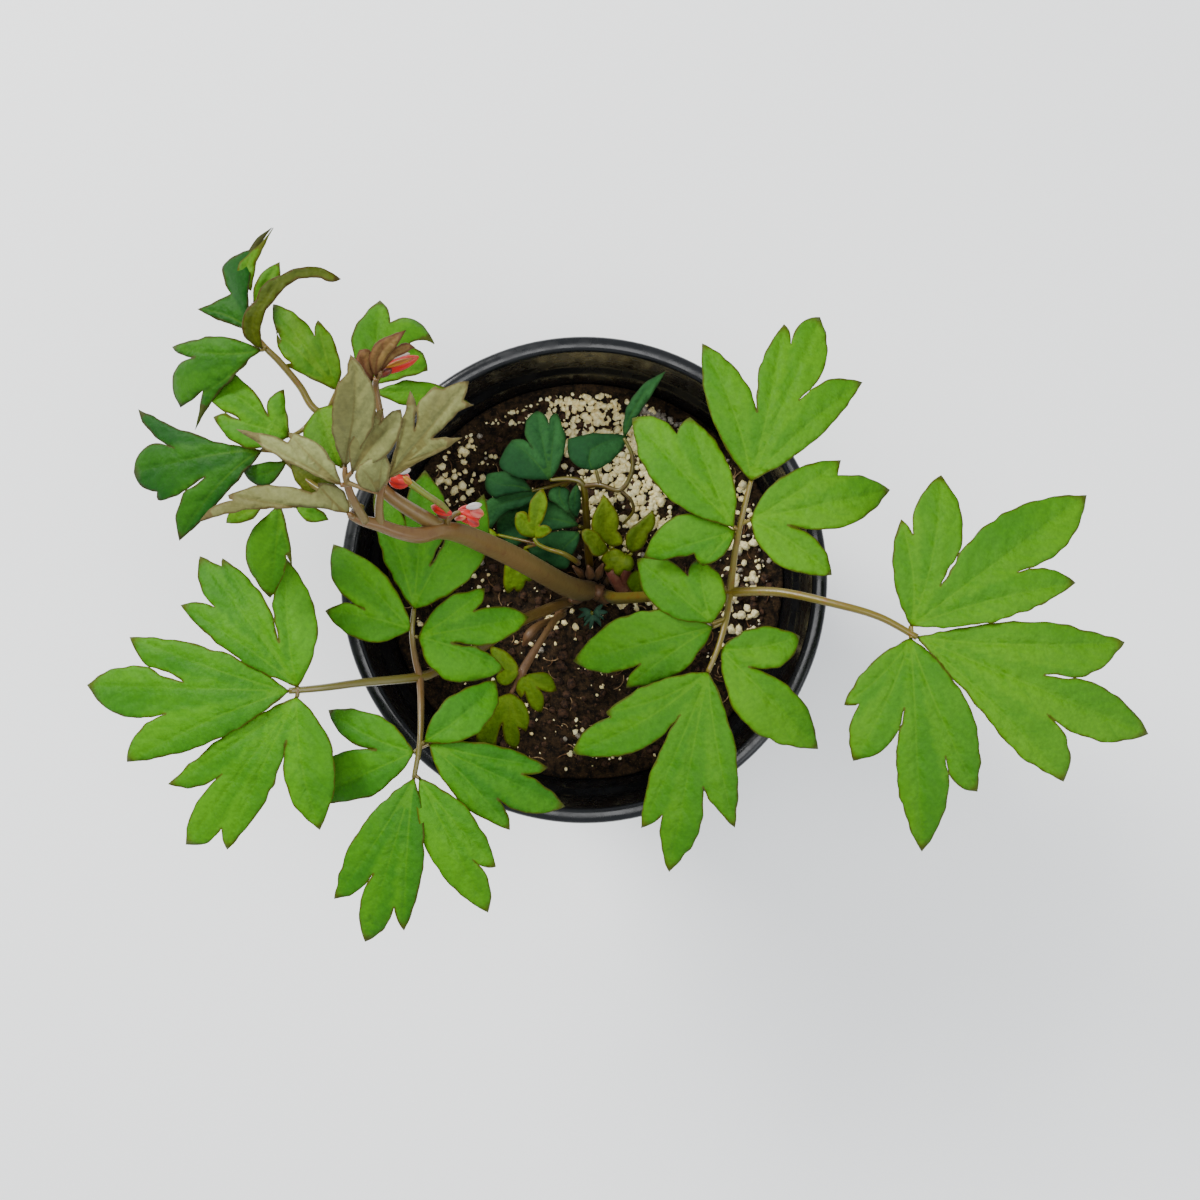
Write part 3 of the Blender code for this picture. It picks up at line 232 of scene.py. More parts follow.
# Petals of each bud: both ends as (x, y, height in metres), width, look, grooves, their turn and depth, flatness
BUD_SHAPE = ((0.0, 0.10), (0.05, 0.40), (0.16, 0.68), (0.32, 0.90), (0.50, 1.0), (0.66, 0.95), (0.80, 0.76),
             (0.91, 0.48), (0.98, 0.20), (1.0, 0.06))
BUD_SIDES = 36
BUDS = {
    "top_bud": (
        ((379, 373, 0.2603), (419, 356.5, 0.263), 0.0036, 0, 2, 0.0, 0.3, 1.0),
        ((384, 360, 0.2612), (410, 353.5, 0.2624), 0.0017, 2, 2, 0.0, 0.16, 1.0),
        ((385, 373.5, 0.2605), (409, 365.5, 0.2618), 0.0016, 2, 2, 0.0, 0.16, 1.0),
        # On the top bud a thin tan petal along its middle is a painted highlight
        ((385, 367.5, 0.2622), (413, 358, 0.2642), 0.0014, 3, 2, 0.0, 0.16, 1.0),
        ((379, 377, 0.2606), (392, 369, 0.2626), 0.0022, 4, 3, 0.0, 0.16, 1.0)),
    "middle_bud": (
        ((410, 483, 0.25), (388, 475, 0.2486), 0.0058, 0, 4, 0.5, 0.24, 1.0),
        ((399, 478, 0.2512), (389, 474, 0.2506), 0.0030, 1, 2, 0.0, 0.16, 0.7),
        ((398, 473, 0.2514), (411, 469.5, 0.2516), 0.0018, 2, 2, 0.0, 0.16, 1.0),
        ((412, 484, 0.2505), (402, 476, 0.2514), 0.0022, 3, 3, 0.0, 0.16, 1.0)),
    "low_bud": (
        ((457, 512, 0.232), (481, 517, 0.2292), 0.0058, 0, 4, 0.4, 0.26, 1.0),
        ((470, 511, 0.2338), (484, 514.5, 0.2315), 0.0030, 1, 2, 0.0, 0.16, 0.8),
        ((466, 518, 0.2335), (479, 525.5, 0.2300), 0.0028, 0, 2, 0.0, 0.16, 1.0),
        ((466, 507.5, 0.2345), (482, 504.5, 0.2352), 0.0021, 2, 2, 0.0, 0.16, 1.0),
        ((455, 519, 0.2330), (466, 517, 0.2350), 0.0017, 1, 2, 0.0, 0.16, 1.0)),
    "pointed_bud": (
        ((452, 514, 0.2414), (431, 506, 0.240), 0.0032, 0, 3, 0.9, 0.3, 1.0),
        ((452, 517, 0.2402), (436, 514, 0.2392), 0.0021, 4, 2, 0.0, 0.16, 1.0)),
}

# Stage: the floor, the sky, and each light's place, aim, size, power and colour
FLOOR_REACH = 6.0
FLOOR_DROP = 0.0002
FLOOR_COLOUR = (0.93, 0.93, 0.92)
WORLD_COLOUR = (0.86, 0.92, 1.0)
WORLD_STRENGTH = 0.85
LIGHTS = {
    "key": ((-0.95, 0.85, 1.10), (0, 0, 0.18), 0.6, 34, (1.0, 0.99, 0.96)),
    "top": ((0.15, -0.10, 1.75), (0, 0, 0.12), 1.1, 20, (1.0, 1.0, 1.0)),
    "fill": ((0.95, -0.55, 1.0), (0, 0, 0.15), 0.9, 6, (0.95, 0.98, 1.0)),
}

# Which look each leaflet's upper side takes, by its place in the leaf's list of looks
FAR_TOPS = (3, 5, 4, 3, 5, 0, 5)
HANGING_TOPS = (3, 3, 4, 0, 5, 0)

# A strip of the far leaf's end leaflet that is folded over, seen from above
FOLD_LEAFLETS = [((251, 247, 2), (251, 291), [(239, 278), (240, 262), (250, 253), (273, 227), (258, 258)])]

# A half-hidden leaflet at the crown
CROWN_LEAFLETS = [((137, 142, 1), (634, 594), [(627, 583), (636, 570), (652, 582)])]

# Bud scales and leaf bases about the crown: (x, y, height in mm, diameter in mm) along each
CROWN_SCALES = [
    [(597, 592, 124, 6.5), (598, 592, 131, 6.2), (600, 593, 135, 3.0)],
    [(600, 600, 124, 3.0), (606, 598, 134, 4.6), (613, 597, 140, 2.0)],
    [(578, 600, 122, 3.5), (576, 598, 133, 4.4), (570, 600, 138, 1.6)],
    [(590, 577, 124, 3.0), (590, 574, 134, 3.6), (588, 566, 142, 1.0)],
    [(596, 578, 124, 2.6), (599, 573, 134, 3.2), (603, 564, 143, 0.8)],
    [(583, 578, 124, 2.4), (580, 573, 133, 2.8), (573, 566, 140, 0.8)],
    [(566, 607, 122, 2.0), (560, 612, 130, 2.8), (552, 622, 134, 0.8)],
    [(558, 618, 124, 2.0), (540, 625, 134, 2.6), (529, 635, 137, 3.4), (523, 646, 135, 0.9)],
    [(606, 583, 124, 2.4), (610, 578, 133, 2.8), (618, 570, 140, 0.8)],
]

# Leaflets: (root height, tip height, arch) in mm, root, then via and corner points by turns
RIGHT_LEAFLETS = [
    ((213, 207, 5), (911, 626), [
        (893, 560), (901, 519), (909, 527), (913, 534), (918, 500), (941, 475), (963, 520), (940, 586),
        (1004, 513), (1087, 495), (1067, 544), (1018, 572), (1048, 568), (1076, 583), (1010, 617)]),
    ((213, 199, 6), (917, 637), [
        (946, 631), (975, 626), (1040, 622), (1125, 642), (1092, 673), (1045, 675), (1106, 689), (1148, 734),
        (1101, 741), (1047, 714), (1070, 748), (1064, 782), (1022, 757), (985, 715), (948, 672)]),
    ((213, 200, 6), (911, 638), [
        (862, 673), (844, 705), (852, 706), (859, 704), (849, 733), (853, 761), (891, 742), (904, 708),
        (897, 778), (922, 852), (948, 798), (946, 757), (954, 782), (978, 792), (976, 725)]),
    ((207, 201, 5), (751, 481), [
        (708, 407), (702, 343), (737, 370), (757, 412), (763, 360), (784, 324), (790, 334), (791, 344),
        (802, 322), (820, 317), (826, 360), (799, 400), (830, 380), (863, 382), (822, 434)]),
    ((206, 200, 4), (734, 527), [
        (648, 474), (632, 418), (656, 417), (677, 434), (681, 424), (690, 417), (730, 468)]),
    ((204, 199, 3), (735, 531), [
        (676, 516), (643, 558), (670, 559), (694, 554), (697, 561), (703, 566), (728, 550)]),
    ((206, 200, 4), (750, 520), [
        (783, 476), (841, 460), (839, 468), (838, 475), (866, 478), (890, 490), (850, 525), (788, 525),
        (820, 543), (832, 575), (768, 556)]),
    ((198, 190, 4), (712, 623), [
        (652, 603), (637, 559), (668, 560), (688, 576), (692, 563), (700, 558), (726, 593)]),
    ((196, 187, 4), (713, 627), [
        (632, 613), (573, 661), (612, 673), (640, 664), (630, 676), (626, 688), (690, 664)]),
    ((199, 188, 5), (708, 672), [
        (652, 683), (606, 712), (607, 715), (610, 717), (587, 730), (572, 753), (640, 750), (680, 715),
        (646, 790), (641, 828), (655, 822), (662, 815), (661, 847), (669, 872), (699, 830), (703, 787),
        (715, 808), (735, 828), (737, 760)]),
    ((198, 189, 4), (721, 649), [
        (752, 628), (800, 636), (786, 663), (749, 667), (797, 694), (818, 749), (745, 724)]),
]

LEFT_LEAFLETS = [
    ((212, 204, 5), (298, 687), [
        (232, 655), (181, 605), (199, 602), (215, 607), (199, 582), (200, 556), (211, 561), (222, 566),
        (222, 562), (223, 558), (257, 588), (279, 642), (273, 600), (286, 558), (317, 635)]),
    ((212, 199, 6), (289, 691), [
        (205, 647), (130, 637), (146, 664), (183, 682), (125, 666), (87, 685), (118, 714), (165, 714),
        (136, 734), (127, 762), (205, 745)]),
    ((212, 200, 5), (297, 697), [
        (220, 739), (168, 784), (198, 787), (222, 774), (192, 812), (185, 845), (208, 842), (221, 829),
        (223, 841), (227, 850), (266, 800), (286, 741), (288, 793), (320, 830), (331, 745)]),
    ((200, 193, 2.5), (414, 609), [
        (382, 553), (374, 494), (392, 500), (406, 528), (409, 492), (425, 470), (447, 510), (430, 566),
        (449, 530), (484, 494), (484, 558)]),
    ((201, 196, 4), (411, 630), [
        (362, 641), (325, 611), (345, 603), (364, 609), (333, 580), (333, 544), (380, 570)]),
    ((201, 193, 4), (418, 637), [
        (445, 600), (485, 588), (483, 600), (474, 611), (502, 606), (529, 617), (497, 643), (452, 643),
        (485, 651), (505, 670), (440, 676)]),
    ((207, 196, 5), (414, 778), [
        (357, 833), (334, 899), (358, 891), (373, 874), (359, 908), (365, 942), (387, 925), (394, 908),
        (397, 920), (404, 931), (421, 880)]),
    ((207, 197, 4), (419, 778), [
        (434, 865), (488, 913), (490, 885), (473, 860), (483, 867), (496, 867), (470, 812)]),
    ((206, 193, 4), (414, 752), [
        (370, 796), (306, 800), (335, 755), (376, 750), (343, 737), (328, 710), (383, 718)]),
    ((206, 200, 3), (424, 742), [
        (437, 710), (496, 680), (498, 692), (499, 703), (475, 735)]),
    ((205, 194, 4), (429, 744), [
        (495, 745), (548, 767), (537, 774), (522, 774), (547, 787), (565, 807), (531, 814), (498, 799),
        (507, 812), (510, 830), (456, 798)]),
]

BRONZE_MIDDLE_LEAFLETS = [
    ((270, 292, 3), (345, 467), [
        (331, 425), (338, 383), (343, 378), (347, 373), (348, 362), (350, 354), (374, 393)]),
    ((271, 283, 2), (352, 472), [(354, 434), (384, 408), (382, 416), (380, 424), (389, 414), (401, 409), (398, 440)]),
    ((269, 277, 2), (378, 493), [(356, 480), (359, 465), (362, 464), (365, 462), (375, 457), (384, 451), (389, 472)]),
    ((268.2, 263, 5), (341, 485), [
        (315, 442), (288, 432), (289, 441), (287, 442), (270, 435), (236, 429), (290, 462)]),
]
BRONZE_RIGHT_LEAFLETS = [
    ((262, 274, 3), (388, 478), [
        (397, 440), (410, 391), (417, 408), (414, 430), (425, 395), (435, 386), (439, 388), (443, 389),
        (456, 383), (469, 381), (466, 391), (463, 400),
        (468, 403), (474, 405), (466, 408), (458, 412), (447, 424), (432, 438), (447, 438), (462, 438),
        (430, 456)]),
]
BRONZE_LOW_LEAFLETS = [
    ((260, 252, 4), (349, 514), [
        (345, 492), (318, 483), (318, 490), (312, 493), (270, 485), (228, 495), (229, 499), (233, 500),
        (213, 507), (199, 522), (270, 508)]),
]

FAR_LEAFLETS = [
    ((254, 243, 3), (252, 331), [
        (224, 322), (197, 309), (216, 302), (231, 294), (224, 268), (249, 250), (258, 238), (272, 227),
        (257, 250), (249, 288), (249, 305)]),
    ((255, 258, 2), (253, 303), [(258, 278), (280, 262), (276, 285)]),
    ((256, 263, 5), (263, 349), [
        (247, 340), (243, 329), (246, 312), (256, 301), (264, 284), (281, 275), (304, 266), (341, 279),
        (331, 281), (321, 277), (296, 280), (274, 300), (262, 322)]),
    ((252, 237, 5), (262, 350), [
        (215, 337), (172, 347), (182, 356), (195, 357), (175, 368), (181, 408), (192, 400), (203, 391),
        (199, 410), (195, 431), (222, 388)]),
    ((247, 245, 4), (337, 390), [
        (310, 377), (281, 364), (286, 364), (291, 363), (279, 350), (277, 331), (279, 336), (281, 340),
        (273, 322), (273, 304), (302, 318), (315, 336), (315, 326), (318, 320), (338, 350)]),
    ((247, 240, 4), (289, 437), [
        (287, 412), (284, 389), (270, 398), (268, 416), (240, 377), (197, 363), (208, 398), (240, 420),
        (226, 413), (213, 417), (240, 446)]),
    ((251, 250, 1), (342, 468), [(303, 432), (318, 408), (335, 405)]),
]
HANGING_LEAFLETS = [
    ((240, 228, 4), (262, 450), [
        (210, 439), (138, 409), (155, 438), (174, 448), (146, 446), (134, 473), (147, 490), (157, 492),
        (158, 500), (165, 500), (185, 492), (205, 477), (179, 504), (179, 541), (225, 495)]),
    ((242, 236, 2), (287, 461), [(262, 463), (241, 469), (262, 487)]),
    ((243, 240, 2), (290, 462), [(312, 470), (345, 492), (300, 487)]),
    ((238, 221, 3), (280, 505), [
        (245, 548), (270, 598), (282, 580), (286, 555), (289, 561), (292, 567), (288, 535)]),
    ((239, 236, 1), (262, 505), [(252, 519), (226, 523), (227, 518)]),
    ((241, 239, 1), (295, 507), [(305, 519), (329, 520), (324, 512)]),
]
BACK_LEAFLETS = [
    ((249, 244, 5), (372, 385), [
        (351, 340), (380, 300), (389, 312), (390, 322), (406, 318), (435, 344), (422, 340), (408, 345),
        (425, 358), (428, 371), (400, 378)]),
    ((250, 243, 3), (374, 392), [(405, 381), (472, 405), (420, 408)]),
]

DARK_LEAFLETS = [
    ((157, 153, 2), (550, 480), [
        (500, 462), (512, 440), (524, 440), (533, 449), (526, 422), (537, 411), (545, 415), (549, 424),
        (551, 416), (557, 413), (565, 437)]),
    ((161, 157, 2), (596, 470), [(572, 462), (568, 439), (590, 434), (628, 436), (622, 450)]),
    ((165, 168, 2), (624, 438), [(628, 405), (666, 371), (640, 412)]),
    ((153, 148, 2), (532, 491), [(512, 473), (487, 474), (485, 488), (495, 498), (515, 493)]),
    ((150, 147, 2), (548, 495), [(520, 489), (493, 497), (481, 508), (490, 530), (505, 514), (528, 506)]),
    ((154, 150, 1), (561, 486), [
        (549, 491), (549, 500), (562, 509), (576, 522), (571, 505), (570, 492), (566, 488)]),
    ((157, 151, 1), (577, 484), [(569, 500), (577, 519), (581, 502)]),
    ((146, 142, 1), (579, 526), [
        (545, 500), (498, 520), (497, 530), (505, 540), (507, 547), (514, 549), (530, 538), (552, 531)]),
    ((153, 149, 1), (579, 532), [
        (578, 545), (570, 557), (567, 568), (556, 568), (549, 564), (546, 560), (546, 565), (543, 567),
        (533, 560), (528, 545), (547, 533)]),
]
YELLOW_LEAFLETS = [
    ((158, 162, 1), (534, 538), [
        (516, 529), (516, 513), (525, 512), (529, 521), (530, 502), (543, 488), (547, 505), (539, 526),
        (545, 525), (552, 530), (546, 536)]),
    ((154, 149, 2), (525, 548), [
        (505, 566), (507, 594), (512, 591), (514, 588), (516, 591), (518, 593), (523, 588), (526, 581),
        (531, 581), (535, 577), (534, 560)]),
    ((150, 147, 1), (498, 535), [(488, 528), (478, 540), (488, 544)]),
]
OLIVE_LEAFLETS = [
    ((151, 161, 1), (611, 546), [
        (592, 524), (596, 510), (600, 502), (603, 494), (611, 503), (617, 513), (619, 522), (617, 531),
        (621, 536), (622, 544), (617, 546)]),
    ((151, 158, 1), (608, 550), [
        (600, 556), (593, 555), (590, 550), (588, 546), (583, 540), (582, 531), (587, 529), (592, 530), (602, 537)]),
    ((151, 159, 1), (632, 553), [(625, 541), (632, 527), (642, 520), (652, 510), (655, 523), (648, 534), (643, 546)]),
    ((150, 147, 2), (626, 554), [
        (613, 549), (601, 558), (603, 562), (606, 565), (604, 569), (608, 573), (611, 571), (613, 569),
        (615, 574), (620, 577), (622, 573), (624, 570), (630, 571), (634, 565), (633, 558)]),
]
LOW_LEAFLETS = [
    ((150, 145, 1), (519, 671), [
        (511, 655), (490, 646), (493, 660), (502, 671), (496, 677), (498, 683), (508, 685), (514, 680), (518, 675)]),
    ((149, 143, 2), (525, 675), [
        (516, 685), (521, 698), (523, 696), (525, 692), (530, 706), (541, 713), (544, 698), (537, 687),
        (546, 692), (557, 691), (548, 675)]),
    ((147, 140, 2), (511, 693), [
        (490, 703), (476, 741), (486, 746), (496, 745), (498, 733), (503, 722), (504, 739), (515, 750),
        (520, 738), (518, 727), (522, 729), (526, 732), (528, 711)]),
]

# Stalks: (x, y, height in mm, diameter in mm) along each
RIGHT_STALKS = [
    [(607, 595, 108, 4.2), (607, 595, 128, 4.2), (609, 596, 136, 4.4), (618, 598, 147, 4.2),
     (640, 597, 162, 3.8), (690, 594, 182, 3.3), (728, 592, 190, 3.1), (780, 592, 200, 2.7),
     (840, 605, 209, 2.4), (880, 617, 212, 2.2), (916, 634, 212.6, 2.0)],
    [(730, 592, 190, 2.6), (734, 560, 198, 2.2), (739, 530, 203.5, 2.0), (746, 500, 206, 1.7),
     (751, 481, 206.6, 1.4)],
    [(730, 592, 190, 2.5), (727, 615, 195, 2.1), (719, 645, 198, 1.8), (708, 672, 198.6, 1.6)],
    [(739, 530, 203, 1.3), (734, 527, 204.6, 1.2)],
    [(738, 533, 202.6, 1.3), (733, 532, 203, 1.1)],
    [(741, 524, 204, 1.3), (750, 520, 205.6, 1.2)],
    [(726, 618, 195.4, 1.3), (712, 623, 197, 1.2)],
    [(725, 622, 195.6, 1.3), (713, 627, 195.4, 1.2)],
    [(719, 643, 197.6, 1.3), (723, 650, 197.4, 1.2)],
    [(911, 630, 212.6, 1.6), (909, 642, 212.6, 1.4)],
    [(911, 630, 212.6, 1.6), (915, 622, 212.8, 1.4)],
]
LEFT_STALKS = [
    [(569, 602, 108, 4.0), (569, 602, 128, 4.0), (564, 603, 136, 4.0), (549, 609, 147, 4.0),
     (516, 624, 163, 3.8), (470, 655, 181, 3.5), (440, 669, 189, 3.2), (420, 677, 194, 3.0),
     (360, 683, 205, 2.5), (322, 688, 210, 2.2), (290, 691, 211.6, 2.0)],
    [(420, 677, 194, 2.4), (415, 658, 197, 2.0), (412, 633, 200.6, 1.8), (414, 609, 201.6, 1.5)],
    [(420, 677, 194, 2.4), (421, 705, 200, 2.1), (420, 742, 205, 1.8), (416, 776, 206.6, 1.5)],
    [(413, 633, 200.4, 1.2), (410, 631, 200.6, 1.1)],
    [(413, 636, 200.0, 1.2), (418, 637, 200.4, 1.1)],
    [(421, 747, 205.0, 1.2), (414, 752, 205.6, 1.1)],
    [(420, 745, 205.0, 1.2), (426, 740, 205.6, 1.1)],
    [(420, 748, 205.0, 1.2), (430, 745, 204.6, 1.1)],
    [(416, 776, 206.4, 1.3), (420, 780, 206.6, 1.1)],
    [(298, 690, 211.6, 1.5), (298, 684, 211.6, 1.3)],
    [(298, 690, 211.6, 1.5), (296, 699, 211.6, 1.3)],
]
STEM_STALKS = [
    [(588, 590, 106, 7.8), (588, 590, 128, 7.8), (581, 590, 138, 7.8), (565, 585, 151, 7.6),
     (543, 573, 168, 7.4), (520, 560, 186, 7.2), (500, 550, 200, 6.8), (480, 541, 214, 6.4),
     (460, 533, 226, 5.8), (441, 530, 236, 5.2), (420, 535, 243, 4.6), (400, 532, 248, 4.0),
     (380, 525, 252, 3.6), (362, 520, 255, 3.0), (350, 514, 257, 2.4)],
    [(446, 530, 233, 4.6), (426, 519, 241, 4.4), (400, 503, 247, 4.0), (385, 491, 250, 3.4),
     (378, 478, 250, 2.8), (366, 455, 248.5, 2.3)],
    [(380, 525, 252, 2.8), (379, 508, 256, 2.3), (381, 491, 260, 2.1), (384, 484, 261, 1.9)],
    [(365, 521, 255, 2.7), (353, 500, 262, 2.3), (347, 484, 266.5, 2.0)],
]
BRONZE_MIDDLE_STALKS = [
    [(347, 483, 266.8, 1.8), (345, 475, 268.6, 1.6), (345, 467, 269.6, 1.2)],
    [(346, 478, 268, 1.4), (352, 472, 270.6, 1.1)],
    [(347, 482, 267.2, 1.4), (362, 488, 267.8, 1.2), (378, 493, 268.6, 1.0)],
    [(348, 484.5, 266.4, 1.5), (341, 485, 267.9, 1.3)],
]
BRONZE_RIGHT_STALKS = [
    [(384.5, 483, 261.2, 1.6), (388, 478, 261.6, 1.3)],
]
BRONZE_LOW_STALKS = [
    [(356, 517, 256, 1.7), (347, 513, 259.5, 1.4)],
]
FAR_STALKS = [
    [(372, 466, 249.0, 2.3), (366, 452, 247.6, 2.3), (345, 425, 245, 2.2), (315, 409, 245, 2.1),
     (300, 386, 247, 2.0), (280, 362, 251, 1.9), (266, 348, 253, 1.7), (258, 334, 253.6, 1.3)],
    [(266, 348, 253, 1.3), (264, 349, 255.4, 1.1)],
    [(266, 348, 253, 1.4), (256, 350, 251.6, 1.2)],
    [(326, 415, 244.6, 1.4), (334, 400, 245.6, 1.2)],
    [(320, 412, 244.6, 1.4), (302, 430, 245, 1.3), (288, 436, 246, 1.1)],
    [(253, 324, 253.6, 1.1), (252, 308, 254.4, 1.0)],
    [(352, 434, 245.6, 1.4), (350, 452, 249, 1.2), (342, 467, 250.6, 1.1)],
]
HANGING_STALKS = [
    [(362, 508, 252.4, 2.0), (340, 500, 248, 1.9), (312, 484, 243.6, 1.8), (290, 464, 241.6, 1.7),
     (276, 452, 240, 1.5), (260, 450, 239.6, 1.3)],
    [(312, 484, 243.4, 1.5), (296, 494, 240, 1.4), (281, 506, 237.6, 1.2)],
    [(290, 464, 241.6, 1.1), (282, 463, 241.6, 1.0)],
    [(292, 466, 241.8, 1.1), (302, 468, 242.6, 1.0)],
    [(284, 503, 238.0, 1.1), (266, 506, 238.4, 1.0)],
    [(290, 499, 239.0, 1.1), (300, 509, 240.2, 1.0)],
]
BACK_STALKS = [
    [(381, 482, 248.2, 1.9), (380, 462, 246.2, 1.8), (375, 430, 247, 1.6), (372, 395, 249, 1.4),
     (373, 380, 249.4, 1.2)],
    [(372, 398, 248.8, 1.2), (380, 393, 249.6, 1.0)],
]
DARK_STALKS = [
    [(590, 567, 106, 3.0), (590, 567, 128, 3.0), (588, 545, 138, 2.9), (586, 510, 150, 2.6),
     (583, 485, 156, 2.2), (570, 479, 157, 1.8), (552, 480, 156.6, 1.3)],
    [(584, 486, 155.6, 2.0), (600, 485, 159, 1.8), (620, 490, 161, 1.7), (631, 474, 163, 1.6),
     (632, 455, 164.4, 1.4), (626, 440, 165, 1.1)],
    [(600, 485, 159, 1.4), (598, 474, 160.6, 1.1)],
    [(571, 480, 156.6, 1.5), (552, 486, 153, 1.3), (530, 491, 152.6, 1.1)],
    [(571, 480, 156.6, 1.5), (560, 490, 151, 1.3), (546, 496, 149.8, 1.1)],
    [(571, 480, 156.6, 1.3), (562, 487, 153.6, 1.0)],
    [(583, 485, 156, 1.4), (578, 486, 156.6, 1.0)],
    [(587, 530, 143, 1.8), (579, 526, 145.6, 1.3)],
    [(587, 540, 140, 1.8), (585, 533, 148, 1.4), (578, 533, 152.4, 1.1)],
    [(620, 490, 161, 1.2), (631, 500, 160, 1.1), (633, 512, 157, 1.0), (623, 524, 153, 0.9)],
]
YELLOW_STALKS = [
    [(578, 563, 108, 2.2), (578, 563, 128, 2.2), (577, 562, 151, 2.0), (564, 554, 158.4, 1.7),
     (548, 549, 157.6, 1.5), (538, 544, 157.6, 1.4), (534, 539, 157.6, 1.3)],
    [(538, 544, 157.4, 1.2), (526, 548, 153.8, 1.1)],
    [(538, 544, 157.5, 1.1), (516, 539, 153.6, 1.1), (498, 535, 149.8, 1.0)],
]
OLIVE_STALKS = [
    [(617, 562, 108, 3.4), (617, 562, 128, 3.4), (617, 560, 138, 3.0), (616, 555, 146, 2.2),
     (612, 547, 150.6, 1.5)],
    [(615, 554, 146.6, 1.5), (609, 549, 149.6, 1.2)],
    [(618, 558, 142, 1.8), (628, 556, 149, 1.4), (634, 551, 151, 1.1)],
    [(624, 557, 147, 1.3), (623, 558, 149.6, 1.1)],
]
BUD_SCALE_STALKS = [
    [(623, 589, 108, 5.4), (623, 589, 128, 5.6), (618, 582, 134, 5.4), (611, 572, 140, 3.8),
     (607, 567, 142, 1.4)],
    [(624, 588, 127, 5.2), (625, 580, 133, 5.8), (625, 571, 139, 4.4), (624, 567, 142, 1.4)],
    [(625, 589, 127, 3.6), (634, 587, 131, 3.8), (639, 580, 136, 2.2), (640, 574, 139, 0.9)],
]
LOW_STALKS = [
    [(563, 614, 108, 2.4), (563, 614, 128, 2.4), (554, 621, 136, 2.4), (540, 642, 143, 2.4),
     (524, 668, 148, 3.2), (521, 676, 148, 2.6), (514, 687, 146.6, 1.4)],
    [(524, 669, 148, 1.6), (518, 668, 149.4, 1.2)],
    [(524, 671, 148, 1.6), (529, 679, 148.8, 1.2)],
]

SEEDLING_LEAFLETS = [
    ((132, 131, 0), (592, 612), [
        (586, 608), (578, 609), (581, 611), (584, 612), (580, 615), (577, 618), (583, 617), (586, 615),
        (584, 618), (584, 622), (589, 617)]),
    ((132, 132, 0), (593, 613), [
        (597, 616), (604, 620), (603, 617), (600, 614), (604, 614), (608, 612), (604, 610), (600, 610),
        (602, 607), (604, 603), (597, 607)]),
    ((132, 131, 0), (592, 614), [
        (588, 618), (583, 627), (587, 624), (590, 620), (589, 625), (590, 630), (593, 625), (594, 620),
        (598, 624), (601, 627), (598, 617)]),
]
SEEDLING_STALKS = [
    [(592, 616, 112, 1.2), (592, 616, 128, 1.2), (592, 613, 131.7, 1.2)],
]

# The racemes: the lower one leaves the fork of the stem, the upper one carries an unfolding tuft
LOW_RACEME_STALKS = [
    [(450, 529, 232, 1.6), (447, 521, 238, 1.7), (448, 514, 240.6, 1.6), (443, 506, 243, 1.8),
     (425, 494, 247.4, 1.9), (410, 483, 250, 2.2)],
    [(448, 520, 238.4, 1.4), (455, 514, 235, 1.5), (460, 513, 232, 1.6)],
]
TUFT_STALKS = [
    [(380, 476, 250, 1.8), (383, 455, 254, 1.8), (381, 420, 257, 1.8), (376, 390, 258.6, 1.8),
     (374, 378, 259.4, 1.6)],
    [(375, 384, 259, 1.5), (380, 372, 262.4, 1.2)],
    [(375, 384, 259, 1.5), (379, 371, 259.6, 1.6), (383, 368, 259.6, 1.8)],
]
TUFT_LEAFLETS = [
    ((260, 265, 1), (374, 382), [(356, 366), (359, 350), (368, 350), (371, 360), (372, 372), (377, 378)]),
    ((262, 269, 1), (376, 378), [(370, 352), (384, 338), (392, 335), (406, 330), (396, 346), (386, 358)]),
    ((263, 267, 1), (381, 372), [(383, 354), (397, 347), (404, 343), (415, 347), (402, 353), (390, 360)]),
]

